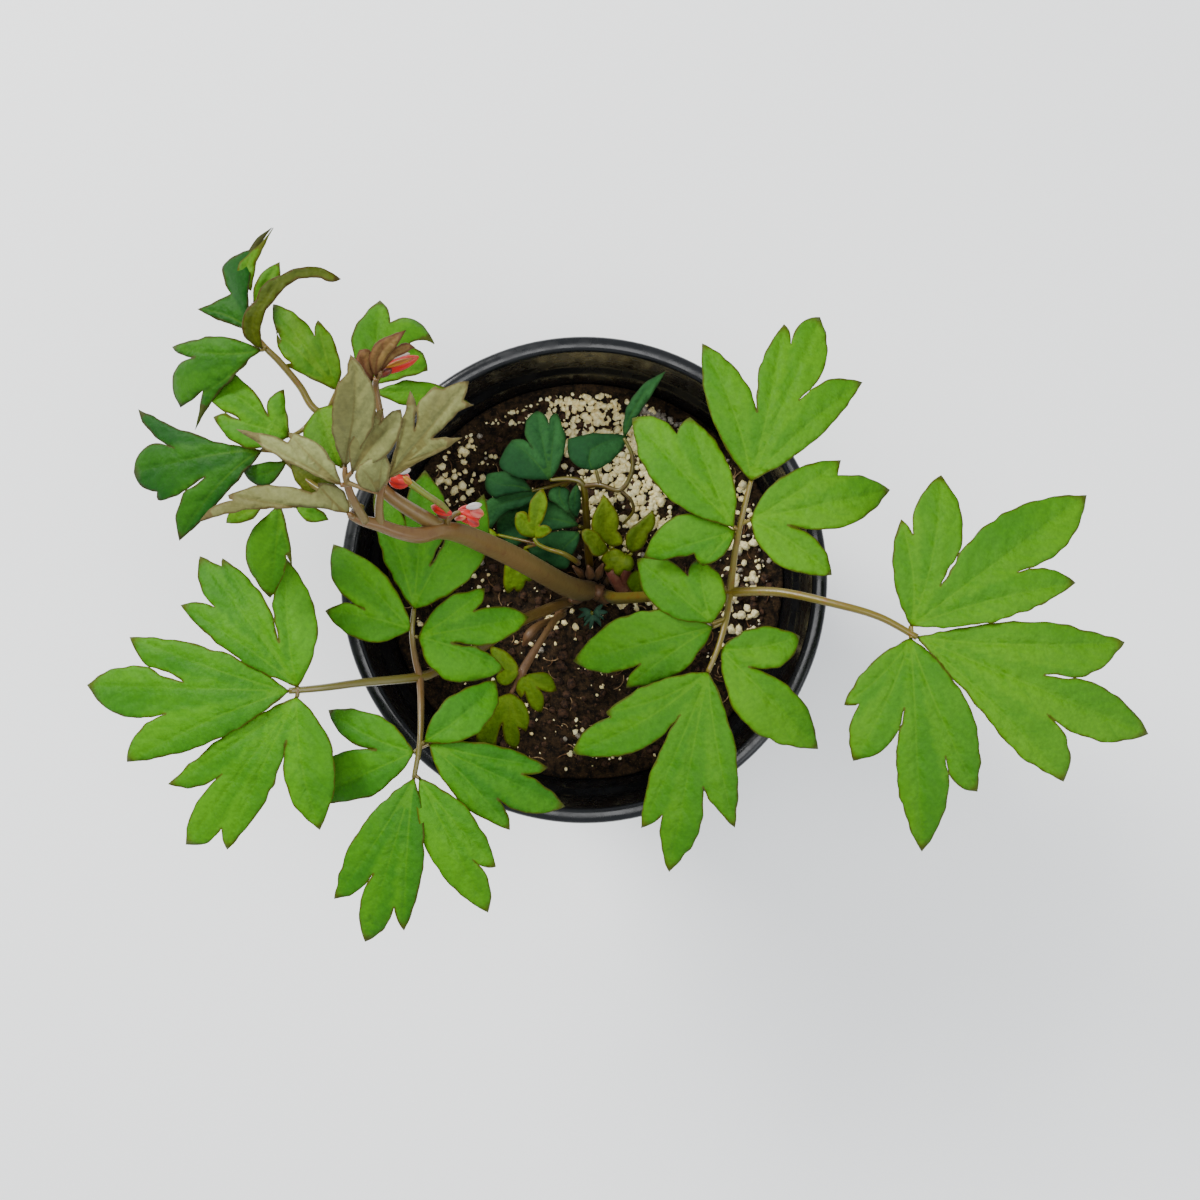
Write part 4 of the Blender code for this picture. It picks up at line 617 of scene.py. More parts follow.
# The leaves: name, leaflets, stalks, looks of the upper side, underside and stalks (then other upper sides), slot
GREEN = ("blade_green", "under_green", "rachis_olive")
MIXED = (*GREEN, "blade_shade", "blade_olive", "blade_fresh")
BRONZE = ("blade_bronze", "under_bronze", "stem_brown")
LEAVES = (
    ("flowering_stem", [], STEM_STALKS, ("stem_brown",) * 3, "stem_brown", {"ridge": 0.05}),
    ("right_leaf", RIGHT_LEAFLETS, RIGHT_STALKS, GREEN, "leaf_green", {}),
    ("left_leaf", LEFT_LEAFLETS, LEFT_STALKS, ("blade_left", "under_green", "rachis_dark"), "leaf_green", {}),
    ("bronze_leaf_middle", BRONZE_MIDDLE_LEAFLETS, BRONZE_MIDDLE_STALKS, BRONZE, "leaf_bronze", {}),
    ("bronze_leaf_right", BRONZE_RIGHT_LEAFLETS, BRONZE_RIGHT_STALKS, BRONZE, "leaf_bronze", {}),
    ("bronze_leaf_low", BRONZE_LOW_LEAFLETS, BRONZE_LOW_STALKS, BRONZE, "leaf_bronze", {}),
    ("far_leaf", FAR_LEAFLETS, FAR_STALKS, MIXED, "leaf_green", {"tops": FAR_TOPS}),
    ("far_leaf_fold", FOLD_LEAFLETS, [], ("blade_fresh", "blade_fresh", "rachis_olive"), "leaf_green",
     {"node": None}),
    ("hanging_leaf", HANGING_LEAFLETS, HANGING_STALKS, MIXED, "leaf_green", {"tops": HANGING_TOPS}),
    ("back_leaf", BACK_LEAFLETS, BACK_STALKS, GREEN, "leaf_green", {}),
    ("dark_leaf", DARK_LEAFLETS, DARK_STALKS, ("blade_deep_painted_shade", "blade_deep_painted_shade", "petiole_brown"), "leaf_deep", {}),
    ("yellow_shoot", YELLOW_LEAFLETS, YELLOW_STALKS, ("blade_lime", "blade_lime", "stalk_pale"), "leaf_lime", {}),
    ("olive_shoot", OLIVE_LEAFLETS, OLIVE_STALKS, ("blade_young", "blade_young", "stalk_pale"), "leaf_lime", {}),
    ("low_shoot", LOW_LEAFLETS, LOW_STALKS, ("blade_lime", "blade_lime", "crown_scale"), "leaf_lime", {}),
    ("crown_scales", CROWN_LEAFLETS, CROWN_SCALES, ("blade_lime", "blade_lime", "crown_scale"), "stem_brown",
     {"ridge": 0.1, "node": None}),
    ("bud_scales", [], BUD_SCALE_STALKS, ("scale_pink",) * 3, "stem_brown", {}),
    ("low_raceme", [], LOW_RACEME_STALKS, ("stem_brown", "stem_brown", "stalk_pale"), "stem_brown", {}),
    ("top_tuft", TUFT_LEAFLETS, TUFT_STALKS, ("blade_tuft", "blade_tuft", "stem_brown"), "leaf_bronze", {}),
    ("seedling", SEEDLING_LEAFLETS, SEEDLING_STALKS, ("blade_blue", "blade_blue", "stalk_pale"), "leaf_deep", {}),
)


def srgb(red, green, blue):
    """Linear colour of an 8-bit display colour."""
    return tuple(((value / 255 + 0.055) / 1.055) ** 2.4 if value > 10 else value / 3295
                 for value in (red, green, blue))


def shown(red, green, blue):
    """The plant colour that looks about like this 8-bit display colour in the scene's bright light."""
    colour = np.array(srgb(red, green, blue))
    level = colour @ LUMINANCE
    return tuple(float(value) for value in np.maximum(level + (colour - level) * RICHNESS, DARKEST) * SHADE)


def lift(x, y, height):
    """The point at this height that is seen at x, y of the view from above."""
    spread = (EYE_HEIGHT - height) / VIEW_FOCAL
    return Vector((AXIS_X + (x - VIEW_CENTRE) * spread, AXIS_Y - (y - VIEW_CENTRE) * spread, height))


def scale_at(height):
    """View pixels to a metre at this height in mm."""
    return VIEW_FOCAL / (EYE_HEIGHT - height / 1000)


def arch(heights, along):
    """A blade's height in mm at this share of the way from its root to its tip."""
    root, tip, bulge = heights
    return root + (tip - root) * along + 4 * bulge * along * (1 - along)


def bend(start, control, end, t):
    """The point at t of the parabola from start to end that control pulls."""
    return start * (1 - t) ** 2 + control * 2 * t * (1 - t) + end * t * t


def through(start, via, end, share, count):
    """Points of the parabola from start through via to end, the end left out."""
    rest = 1 - share
    control = (via - start * rest * rest - end * share * share) / (2 * rest * share)
    return [bend(start, control, end, i / count) for i in range(count)]


def outline_of(root, edge, step):
    """The leaflet's closed edge, as flat points, with its lobe tips apart."""
    corners = [Vector(root)] + [Vector(point) for point in edge[1::2]] + [Vector(root)]
    vias = [Vector(point) for point in edge[0::2]]
    points = []
    for start, via, end in zip(corners, vias, corners[1:]):
        first, second = (via - start).length, (end - via).length
        count = max(2, round((first + second) / step))
        points += through(start, via, end, first / (first + second), count)
    reach = [(corner - corners[0]).length for corner in corners]
    tips = [i for i in range(1, len(corners) - 1) if reach[i - 1] < reach[i] > reach[i + 1]]
    return points, [corners[i] for i in tips]


def vein_of(root, tip, main, count):
    """A side vein leaves the root along the main one and bends out to its lobe."""
    span = tip - root
    lean = span.normalized() * VEIN_OWN + (main - root).normalized() * VEIN_SHARED
    control = root + lean.normalized() * span.length * VEIN_PULL
    return [bend(root, control, tip, i / count) for i in range(count + 1)]


def spaced(line, share):
    """The point this share of the way along a line, by its length."""
    steps = [(b - a).length for a, b in zip(line, line[1:])]
    left = share * sum(steps)
    for a, b, step in zip(line, line[1:], steps):
        if left <= step:
            return a + (b - a) * (left / max(step, 1e-9))
        left -= step
    return line[-1]


def midrib_of(polygon, tip, count):
    """The middle line of a leaflet with one tip, halfway between its two edges."""
    turn = min(range(len(polygon)), key=lambda i: (polygon[i] - tip).length)
    there, back = polygon[:turn + 1], [polygon[0]] + polygon[:turn - 1:-1]
    return [(spaced(there, i / count) + spaced(back, i / count)) / 2 for i in range(count + 1)]


def main_veins(start, polygon, tips, parts):
    """The vein to each tip, in the number of parts that parts gives for it."""
    if len(tips) == 1:
        return [midrib_of(polygon, tips[0], parts(tips[0]))]
    main = max(tips, key=lambda tip: (tip - start).length)
    return [vein_of(start, tip, main, parts(tip)) for tip in tips]


def side_veins(veins):
    """Short veins that leave each main vein at a slant, to both sides."""
    found = []
    for vein in veins:
        length = sum((b - a).length for a, b in zip(vein, vein[1:]))
        count = max(2, int(length / SIDE_VEIN_STEP))
        for i in range(1, count):
            share = i / count
            spot = spaced(vein, share)
            after, before = min(1, share + SIDE_VEIN_SPAN), max(0, share - SIDE_VEIN_SPAN)
            ahead = (spaced(vein, after) - spaced(vein, before)).normalized()
            reach = (1 - share * SIDE_VEIN_LOSS) * length * SIDE_VEIN_REACH
            for turn in (-SIDE_VEIN_TURN, SIDE_VEIN_TURN):
                way = Matrix.Rotation(turn, 2) @ ahead
                end = (way + ahead * SIDE_VEIN_BEND).normalized()
                found.append([spot, spot + way * reach * 0.5, spot + end * reach])
    return found


def away(points, lines):
    """How far each flat point lies from the nearest of the lines, and on which side of it."""
    starts = np.array([a for line in lines for a in line[:-1]], float)
    runs = np.array([b for line in lines for b in line[1:]], float) - starts
    size = np.maximum((runs ** 2).sum(axis=1), 1e-12)
    gap = points[:, None, :] - starts[None]
    along = np.clip((gap * runs[None]).sum(axis=2) / size, 0, 1)
    rest = gap - along[..., None] * runs[None]
    length = np.sqrt((rest ** 2).sum(axis=2))
    nearest = length.argmin(axis=1)
    row = np.arange(len(points))
    side = np.sign(runs[nearest, 0] * gap[row, nearest, 1] - runs[nearest, 1] * gap[row, nearest, 0])
    return length[row, nearest], side


def within(points, polygon):
    """Which flat points lie inside the polygon."""
    odd = np.zeros(len(points), bool)
    corners = np.array(polygon, float)
    for a, b in zip(corners, np.roll(corners, -1, axis=0)):
        if a[1] == b[1]:
            continue
        cross = (a[1] > points[:, 1]) != (b[1] > points[:, 1])
        odd ^= cross & (points[:, 0] < (b[0] - a[0]) * (points[:, 1] - a[1]) / (b[1] - a[1]) + a[0])
    return odd


def placed(name, data):
    """An object of this data in the scene."""
    made = bpy.data.objects.new(name, data)
    bpy.context.scene.collection.objects.link(made)
    return made


def adopt(made, node):
    """The piece rides the plant's one body, in the place of its node if it has one."""
    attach(made, "root")
    if node:
        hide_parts(node)


class Piece:
    """Collects the surfaces of one leaf, with the marks that its materials read."""

    def __init__(self):
        self.points = []
        self.faces = []
        self.slots = []
        self.marks = {name: [] for name in REST}

    def add(self, points, faces, slot, **marks):
        base = len(self.points)
        self.points += [tuple(point) for point in points]
        self.faces += [tuple(int(i) + base for i in face) for face in faces]
        self.slots += list(slot) if hasattr(slot, "__len__") else [slot] * len(faces)
        for name, rest in REST.items():
            value = marks.get(name, rest)
            self.marks[name] += list(value) if hasattr(value, "__len__") else [value] * len(points)

    def make(self, name, looks, node):
        mesh = bpy.data.meshes.new(name)
        mesh.from_pydata(self.points, [], self.faces)
        mesh.polygons.foreach_set("material_index", self.slots)
        for mark, values in self.marks.items():
            layer = mesh.attributes.new(mark, "FLOAT", "POINT")
            layer.data.foreach_set("value", np.array(values, np.float32))
        for look in looks:
            mesh.materials.append(look)
        mesh.shade_smooth()
        mesh.update()
        adopt(placed(name, mesh), node)


def wave_at(spot, number):
    """How far the blade swells up or down here, in metres."""
    flat = Vector((spot.x, spot.y, number * SWELL_SEED))
    return sum(noise.noise(flat * rate) * size for rate, size in SWELLS)


def wavered(polygon, corners, number, scale):
    """The edge with small irregular waves, which die out at the corners."""
    made = polygon[:1]
    for point in polygon[1:]:
        waver = noise.noise_vector(Vector((point.x, point.y, number * WAVER_SEED)) * WAVER_RATE)
        calm = min(1, min((point - corner).length for corner in corners) / WAVER_CALM)
        made.append(point + Vector((waver.x, waver.y)) * EDGE_WAVER * scale * calm)
    return made


def grid_in(polygon, veins, step):
    """Evenly laid points inside the polygon, clear of its edge and of the veins."""
    low, high = np.min(polygon, axis=0), np.max(polygon, axis=0)
    rows = []
    for i, y in enumerate(np.arange(low[1], high[1], step * ROW_PITCH)):
        xs = np.arange(low[0] + (step / 2 if i % 2 else 0), high[0], step)
        rows.append(np.stack([xs, np.full(len(xs), y)], axis=1))
    grid = np.concatenate(rows)
    grid = grid[within(grid, polygon)]
    for lines, gap in (([polygon + polygon[:1]], 0.5), (veins, 0.4)):
        grid = grid[away(grid, lines)[0] > step * gap] if len(grid) else grid
    return grid


def flat_mesh(polygon, veins, scale):
    """The leaflet's points and triangles in the view, with edges along its veins."""
    ring = polygon + polygon[:1]
    lines = [(i, (i + 1) % len(polygon)) for i in range(len(polygon))]
    flat = list(polygon)
    for vein in veins:
        row = [0]
        spots = np.array(vein[1:-1], float)
        keep = within(spots, polygon) & (away(spots, [ring])[0] > VEIN_MARGIN * scale)
        for good, point in zip(keep, vein[1:-1]):
            if good:
                row.append(len(flat))
                flat.append(point)
        lines += list(zip(row, row[1:]))
    flat += [Vector(point) for point in grid_in(polygon, veins, FINE_STEP * scale)]
    flat, _, faces, _, _, _ = geometry.delaunay_2d_cdt(flat, lines, [list(range(len(polygon)))], 1, 1e-4)
    spots = np.array(flat, float)
    middles = np.array([spots[list(face)].mean(axis=0) for face in faces])
    return spots, [list(face) for face, good in zip(faces, within(middles, polygon)) if good]


def thickened(top, faces):
    """A closed sheet: the upper points, the lower ones, and the faces of top, underside and rim."""
    turns = np.zeros_like(top)
    for face in faces:
        a, b, c = (top[i] for i in face[:3])
        normal = np.cross(b - a, c - a)
        if normal[2] < 0:
            face.reverse()
            normal = -normal
        for i in face:
            turns[i] += normal
    turns /= np.maximum(np.linalg.norm(turns, axis=1, keepdims=True), 1e-15)
    count = len(top)
    sides = dict.fromkeys((a, b) for face in faces for a, b in zip(face, face[1:] + face[:1]))
    upper = [tuple(face) for face in faces]
    lower = [tuple(count + i for i in reversed(face)) for face in faces]
    rims = [(b, a, count + a, count + b) for a, b in sides if (b, a) not in sides]
    return list(top) + list(top - turns * FINE_THICKNESS), upper, lower, rims


def add_blade(piece, heights, root, edge, number, slot):
    """One leaflet, with impressed veins, puckers between them and a thin rim."""
    scale = scale_at(heights[0])
    polygon, tips = outline_of(root, edge, FINE_EDGE * scale)
    start = Vector(root)
    polygon = wavered(polygon, [start] + [Vector(point) for point in edge[1::2]], number, scale)
    veins = main_veins(start, polygon, tips,
                       lambda tip: max(6, round((tip - start).length / (FINE_EDGE * 2 * scale))))
    spots, faces = flat_mesh(polygon, veins, scale)
    vein, side = away(spots, veins)
    small, _ = away(spots, side_veins(veins))
    rim, _ = away(spots, [polygon + polygon[:1]])
    vein, small, rim = vein / scale * 1000, small / scale * 1000, rim / scale * 1000
    ends = np.array(tips, float)
    reaches = np.linalg.norm(ends - np.array(root), axis=1)
    near = np.linalg.norm(spots[:, None] - ends[None], axis=2) / np.maximum(reaches, LOBE_LEAST)[None]
    reach = max((tip - start).length for tip in tips)
    along = np.minimum(1, np.sqrt(((spots - np.array(root)) ** 2).sum(axis=1)) / reach)
    level = arch(heights, along)
    level += CREASE * (1 - np.exp(-vein / CREASE_WIDTH))
    level += (PUCKER * (1 - np.exp(-small / PUCKER_WIDTH)) * np.minimum(1, rim / PUCKER_RIM)
              * np.exp(-vein / PUCKER_FADE))
    level -= SUNK * np.exp(-vein / SUNK_WIDTH)
    points = []
    for (x, y), height in zip(spots, level):
        spot = lift(x, y, height / 1000)
        spot.z += wave_at(spot, number)
        points.append(spot)
    points, upper, lower, rims = thickened(np.array(points), faces)
    # The side mark paints one half of the blade lighter and the other darker: painted light and shade
    marks = {"vein": vein, "small": small, "rim": rim, "side": side * np.minimum(1, vein / HALF_EDGE),
             "along": along, "tip": 1 - near.min(axis=1)}
    piece.add(points, upper + lower + rims, [slot] * len(upper) + [1] * len(lower) + [slot] * len(rims),
              tint=noise.noise(Vector((number * TINT_SEED, 2.0, 1.0))) * 2,
              **{name: np.tile(values, 2) for name, values in marks.items()})


def smooth_path(knots, parts):
    """A curve through the knots, each four numbers, with this many parts between neighbours."""
    rows = [Vector(knot) for knot in knots]
    rows = [rows[0] * 2 - rows[1]] + rows + [rows[-1] * 2 - rows[-2]]
    path = []
    for a, b, c, d in zip(rows, rows[1:], rows[2:], rows[3:]):
        for i in range(parts):
            t = i / parts
            pull = (b * 2 + (c - a) * t + (a * 2 - b * 5 + c * 4 - d) * t * t
                    + (b * 3 - a - c * 3 + d) * t ** 3)
            path.append(pull * 0.5)
    return path + [rows[-2]]


def ring_faces(rings, sides, inward=False):
    """Quads between neighbouring rings of points, and a cap on the first and on the last."""
    faces = []
    for i in range(rings - 1):
        for k in range(sides):
            after = (k + 1) % sides
            a, b, c, d = i * sides + k, i * sides + after, (i + 1) * sides + after, (i + 1) * sides + k
            faces.append((a, d, c, b) if inward else (a, b, c, d))
    first, last = tuple(range(sides)), tuple((rings - 1) * sides + k for k in range(sides))
    return faces + ([first, last[::-1]] if inward else [first[::-1], last])


def add_tube(piece, path, slot, sides, ridge=0.0, end=1.0):
    """A round or faintly ridged tube along the path's four-number spots, with both ends closed."""
    centres = [Vector(spot[:3]) for spot in path]
    points, along = [], []
    frame_x = None
    for i, centre in enumerate(centres):
        ahead = (centres[min(i + 1, len(centres) - 1)] - centres[max(i - 1, 0)]).normalized()
        if frame_x is None:
            frame_x = ahead.orthogonal().normalized()
        frame_x = (frame_x - ahead * frame_x.dot(ahead)).normalized()
        frame_y = ahead.cross(frame_x)
        for k in range(sides):
            turn = 2 * math.pi * k / sides
            radius = path[i][3] * (1 + ridge * math.cos(5 * turn))
            points.append(centre + (frame_x * math.cos(turn) + frame_y * math.sin(turn)) * radius)
            along.append(i / (len(centres) - 1) * end)
    piece.add(points, ring_faces(len(centres), sides), slot, along=along)


def spots_of(knots):
    """The stalk's knots in metres, with a foot in the soil straight below the knot above it."""
    spots = [(*lift(x, y, height / 1000), across / 2000) for x, y, height, across in knots]
    if knots[0][2] < SOIL_TOP * 1000:
        spots[0] = (*spots[1][:2], *spots[0][2:])
    return spots


def seated(knots, leaflets):
    """The stalk with its last knot on the root of the leaflet that it reaches."""
    x, y, _, across = knots[-1]
    near = [(math.hypot(root[0] - x, root[1] - y), heights[0], root) for heights, root, _ in leaflets]
    if not near or min(near)[0] > ROOT_REACH:
        return knots
    _, height, root = min(near)
    return [*knots[:-1], (*root, height - SEAT_DEPTH, across)]


def ribs_of(heights, root, edge, number):
    """Each main vein's raised underside, thin out to near the lobe's tip."""
    scale = scale_at(heights[0])
    polygon, tips = outline_of(root, edge, FINE_EDGE * scale)
    start = Vector(root)
    reach = max((tip - start).length for tip in tips)
    found = []
    for line in main_veins(start, polygon, tips, lambda tip: RIB_PARTS):
        spots = np.array(line, float)
        clear = within(spots, polygon) & (away(spots, [polygon + polygon[:1]])[0] / scale >= RIB_MARGIN)
        knots = []
        for i, spot in enumerate(line[:-2]):
            if i and not clear[i]:
                break
            height = arch(heights, min(1, (spot - start).length / reach))
            place = lift(spot.x, spot.y, (height - RIB_DEPTH) / 1000)
            place.z += wave_at(place, number)
            knots.append((*place, (RIB_RADIUS - RIB_TAPER * i) / 1000))
        if len(knots) > 2:
            found.append(knots)
    return found


def leaf(name, leaflets, stalks, looks, slot, ridge=0.06, tops=(), node=""):
    """A whole leaf: blades, ribs and stalks in one piece, which replaces its node."""
    piece = Piece()
    for number, (heights, root, edge) in enumerate(leaflets):
        add_blade(piece, heights, root, edge, number + len(name), tops[number] if tops else 0)
        for rib in ribs_of(heights, root, edge, number + len(name)):
            add_tube(piece, rib, 2, RIB_SIDES, end=RIB_TONE)
    for i, knots in enumerate(stalks):
        spots = spots_of(seated(knots, leaflets))
        add_tube(piece, smooth_path(spots, STALK_PARTS), 2, BRANCH_SIDES if i else STALK_SIDES, ridge)
    piece.make(name + "_form", looks, name if node == "" else node)


class Look:
    """A material on one Principled shader, with short words for the nodes that feed it."""

    def __init__(self, name, roughness, specular=0.5, sheen=0.0, coat=0.0):
        self.made = bpy.data.materials.new(name)
        self.made.use_nodes = True
        self.tree = self.made.node_tree
        self.inputs = self.tree.nodes["Principled BSDF"].inputs
        for socket, value in (("Roughness", roughness), ("Specular IOR Level", specular), ("Sheen Weight", sheen),
                              ("Coat Weight", coat)):
            self.feed(self.inputs[socket], value)

    def feed(self, socket, value):
        """The socket reads another node, or holds a colour or a number."""
        if isinstance(value, bpy.types.NodeSocket):
            self.tree.links.new(value, socket)
        else:
            socket.default_value = (*value, 1) if isinstance(value, tuple) else value

    def node(self, kind, output, feeds, **settings):
        made = self.tree.nodes.new(kind)
        for name, value in settings.items():
            setattr(made, name, value)
        for socket, value in feeds.items():
            self.feed(made.inputs[socket], value)
        return made.outputs[output]

    def mark(self, name):
        return self.node("ShaderNodeAttribute", "Fac", {}, attribute_name=name)

    def spread(self, value, low, high, to_low=0.0, to_high=1.0):
        """A value from low to high, taken smoothly to the new range."""
        return self.node("ShaderNodeMapRange", "Result", {"Value": value, "From Min": low, "From Max": high,
                         "To Min": to_low, "To Max": to_high}, interpolation_type="SMOOTHSTEP")

    def calc(self, operation, first, second):
        return self.node("ShaderNodeMath", 0, {0: first, 1: second}, operation=operation)

    def plus(self, first, *others):
        for other in others:
            first = self.calc("ADD", first, other)
        return first

    def times(self, first, second):
        return self.calc("MULTIPLY", first, second)

    def blend(self, factor, first, second, kind="MIX"):
        return self.node("ShaderNodeMix", 2, {0: factor, 6: first, 7: second}, data_type="RGBA", blend_type=kind)

    def grain(self, scale, detail=3.0, rough=0.55):
        place = self.node("ShaderNodeTexCoord", "Object", {})
        return self.node("ShaderNodeTexNoise", "Fac", {"Scale": scale, "Detail": detail, "Roughness": rough,
                         "Vector": place})

    def mottle(self, size, *scale):
        """Noise about zero."""
        return self.times(self.calc("SUBTRACT", self.grain(*scale), 0.5), size)

    def finish(self, base, height, strength, distance):
        """The material, with this colour and this bump."""
        self.feed(self.inputs["Base Color"], base)
        self.feed(self.inputs["Normal"], self.node("ShaderNodeBump", "Normal", {
            "Strength": strength, "Distance": distance, "Height": height}))
        return self.made


def blade_look(name, light, dark, margin, vein, brown=0.7, roughness=0.6, veins=0.13, relief=0.3):
    """Leaf surface: softly mottled, with faint pale main veins, painted shade in the small veins' grooves, painted
    light and shade on the blade's two halves, a thin brown margin and brown lobe ends.
    """
    look = Look(name, roughness, 0.15)
    times, spread, grain, mark = look.times, look.spread, look.grain, look.mark
    light, dark, margin, vein = shown(*light), shown(*dark), shown(*margin), shown(*vein)
    # Tone: random mottle, a random tint per leaflet, and painted light and shade on the blade's two halves
    tone = look.plus(times(spread(grain(42), 0.3, 0.7), 0.45), times(mark("side"), PAINTED_HALF_SHADE),
                     times(mark("tint"), 0.4), 0.30)
    base = look.blend(1.0, look.blend(tone, dark, light), spread(grain(800), 0.30, 0.75, 0.88, 1.08), "MULTIPLY")
    # Painted shade: the grooves of the small veins are painted in the dark colour
    small = times(spread(mark("small"), 0.0, 0.60, 1.0, 0.0), 0.38)
    large = times(spread(mark("vein"), 0.05, 0.50, 1.0, 0.0), veins)
    large = times(large, spread(mark("along"), 0.0, 0.9, 2.4, 0.3))
    base = look.blend(large, look.blend(small, base, dark), vein)
    ragged = times(spread(grain(300), 0.3, 0.7), MARGIN)
    edge = spread(look.calc("SUBTRACT", mark("rim"), ragged), -0.1, MARGIN, 1.0, 0.0)
    ends = spread(look.calc("SUBTRACT", mark("rim"), 2.2), -2.2, 0.0, 1.0, 0.0)
    ends = times(ends, spread(mark("tip"), 0.90, 0.985))
    base = look.blend(times(look.calc("MAXIMUM", edge, ends), brown), base, margin)
    folds = times(spread(mark("vein"), 0.3, 5.5, 1.0, 0.0), grain(330, 2))
    height = look.plus(times(grain(700), 0.4), grain(190), times(spread(mark("small"), 0.0, 1.6), relief),
                       times(spread(mark("vein"), 0.0, 1.2), relief), times(folds, 2.2))
    return look.finish(base, height, 0.5, 0.0007)


def stalk_look(name, low, high, speck, roughness):
    """A smooth fleshy stalk: one colour at its foot, another at its far end, with fine streaks."""
    look = Look(name, roughness, 0.45, 0.02, 0.06)
    way = look.plus(look.spread(look.mark("along"), 0.0, 1.0), look.mottle(1.0, 60))
    base = look.blend(way, shown(*low), shown(*high))
    base = look.blend(look.spread(look.grain(420, 4), 0.5, 0.72, 0.0, 0.55), base, shown(*speck))
    return look.finish(base, look.grain(500), 0.25, 0.0004)


def petal_look(name, light, dark, tip):
    """Outer petal: reddish, with painted shade in its grooves and painted light on its ridges, fine lengthwise
    streaks and a browner end.
    """
    look = Look(name, 0.42, 0.4, 0.08)
    # Painted light and shade: the side mark takes the petal from the dark colour in its grooves to the light one on
    # its ridges
    tone = look.plus(look.spread(look.mark("side"), -1.0, 1.0), look.mottle(0.9, 300, 4))
    base = look.blend(tone, shown(*dark), shown(*light))
    base = look.blend(look.spread(look.mark("along"), 0.72, 1.0, 0.0, 0.9), base, shown(*tip))
    return look.finish(base, look.grain(900), 0.25, 0.0003)


def pot_look():
    """Black plastic, a little dusty and unevenly glossy."""
    look = Look("pot_black", 0.24, 0.34)
    dust = look.times(look.spread(look.grain(34, 5, 0.65), 0.48, 0.74), 0.25)
    rough = look.plus(look.times(look.spread(look.grain(120, 4), 0.4, 0.7), 0.2), 0.2)
    look.feed(look.inputs["Roughness"], rough)
    height = look.plus(look.grain(45, 2), look.times(look.grain(700, 2), 0.3))
    return look.finish(look.blend(dust, srgb(13, 14, 16), srgb(44, 46, 48)), height, 0.18, 0.0005)


def soil_look():
    """Dark crumbs with pale flecks."""
    look = Look("soil_dark", 0.95, 0.2)
    base = look.blend(look.spread(look.grain(380, 5, 0.7), 0.38, 0.66), srgb(16, 11, 6), srgb(64, 47, 28))
    base = look.blend(look.spread(look.grain(1500, 3, 0.6), 0.60, 0.74, 0.0, 0.7), base, srgb(120, 92, 60))
    return look.finish(base, look.plus(look.grain(900, 5, 0.7), look.grain(2600, 3, 0.6)), 0.9, 0.0009)


def grain_look(name, light, dark, roughness):
    """A rough grain of perlite, bark or fibre."""
    look = Look(name, roughness, 0.3)
    base = look.blend(look.spread(look.grain(700, 4, 0.65), 0.36, 0.62), srgb(*dark), srgb(*light))
    return look.finish(base, look.grain(1700, 4, 0.7), 0.7, 0.0006)


def turned(profile, segments):
    """Points and faces of a profile turned about Z, closed at both ends near the axis."""
    turns = [2 * math.pi * k / segments for k in range(segments)]
    points = [(radius * math.cos(turn), radius * math.sin(turn), height) for radius, height in profile
              for turn in turns]
    return points, ring_faces(len(profile), segments, inward=True)


def wall_radius(height):
    """The pot's outer radius below its collar."""
    top = POT_HEIGHT - COLLAR_HEIGHT
    return BASE_RADIUS + (COLLAR_RADIUS - STEP_IN - BASE_RADIUS) * height / top


def rounded(profile, reach):
    """The profile with each corner taken round over this length on both sides."""
    made = [profile[0]]
    for before, corner, after in zip(profile, profile[1:], profile[2:]):
        a, b, c = Vector(before), Vector(corner), Vector(after)
        cut = min(reach, (b - a).length * 0.45, (c - b).length * 0.45)
        start, end = b + (a - b).normalized() * cut, b + (c - b).normalized() * cut
        made += [tuple(bend(start, b, end, i / 3)) for i in range(4)]
    return made + [profile[-1]]


def pot_profile():
    """The wall's section, from the floor's inner middle over the lip to the base's outer middle."""
    collar = POT_HEIGHT - COLLAR_HEIGHT
    inner = COLLAR_RADIUS - WALL
    profile = [(AXIS_GAP, FLOOR), (wall_radius(FLOOR) - WALL - 0.004, FLOOR), (wall_radius(0.006) - WALL, 0.006),
               (wall_radius(collar - 0.003) - WALL, collar - 0.003), (inner, collar), (inner, POT_HEIGHT - 0.0012),
               (inner + 0.0012, POT_HEIGHT)]
    for i in range(5):
        turn = math.pi * i / 4
        profile.append((RIM_RADIUS - LIP_ROUND + LIP_ROUND * math.sin(turn),
                        POT_HEIGHT - LIP_ROUND + LIP_ROUND * math.cos(turn)))
    return profile + [(COLLAR_RADIUS, POT_HEIGHT - (RIM_RADIUS - COLLAR_RADIUS) - 0.0015),
                      (COLLAR_RADIUS, collar + 0.001), (wall_radius(collar), collar - 0.001),
                      (wall_radius(0.003), 0.003), (BASE_RADIUS - 0.003, 0), (AXIS_GAP, 0)]


def shaped(name, work):
    """An object made from this bmesh, which is freed."""
    mesh = bpy.data.meshes.new(name)
    work.to_mesh(mesh)
    work.free()
    return placed(name, mesh)


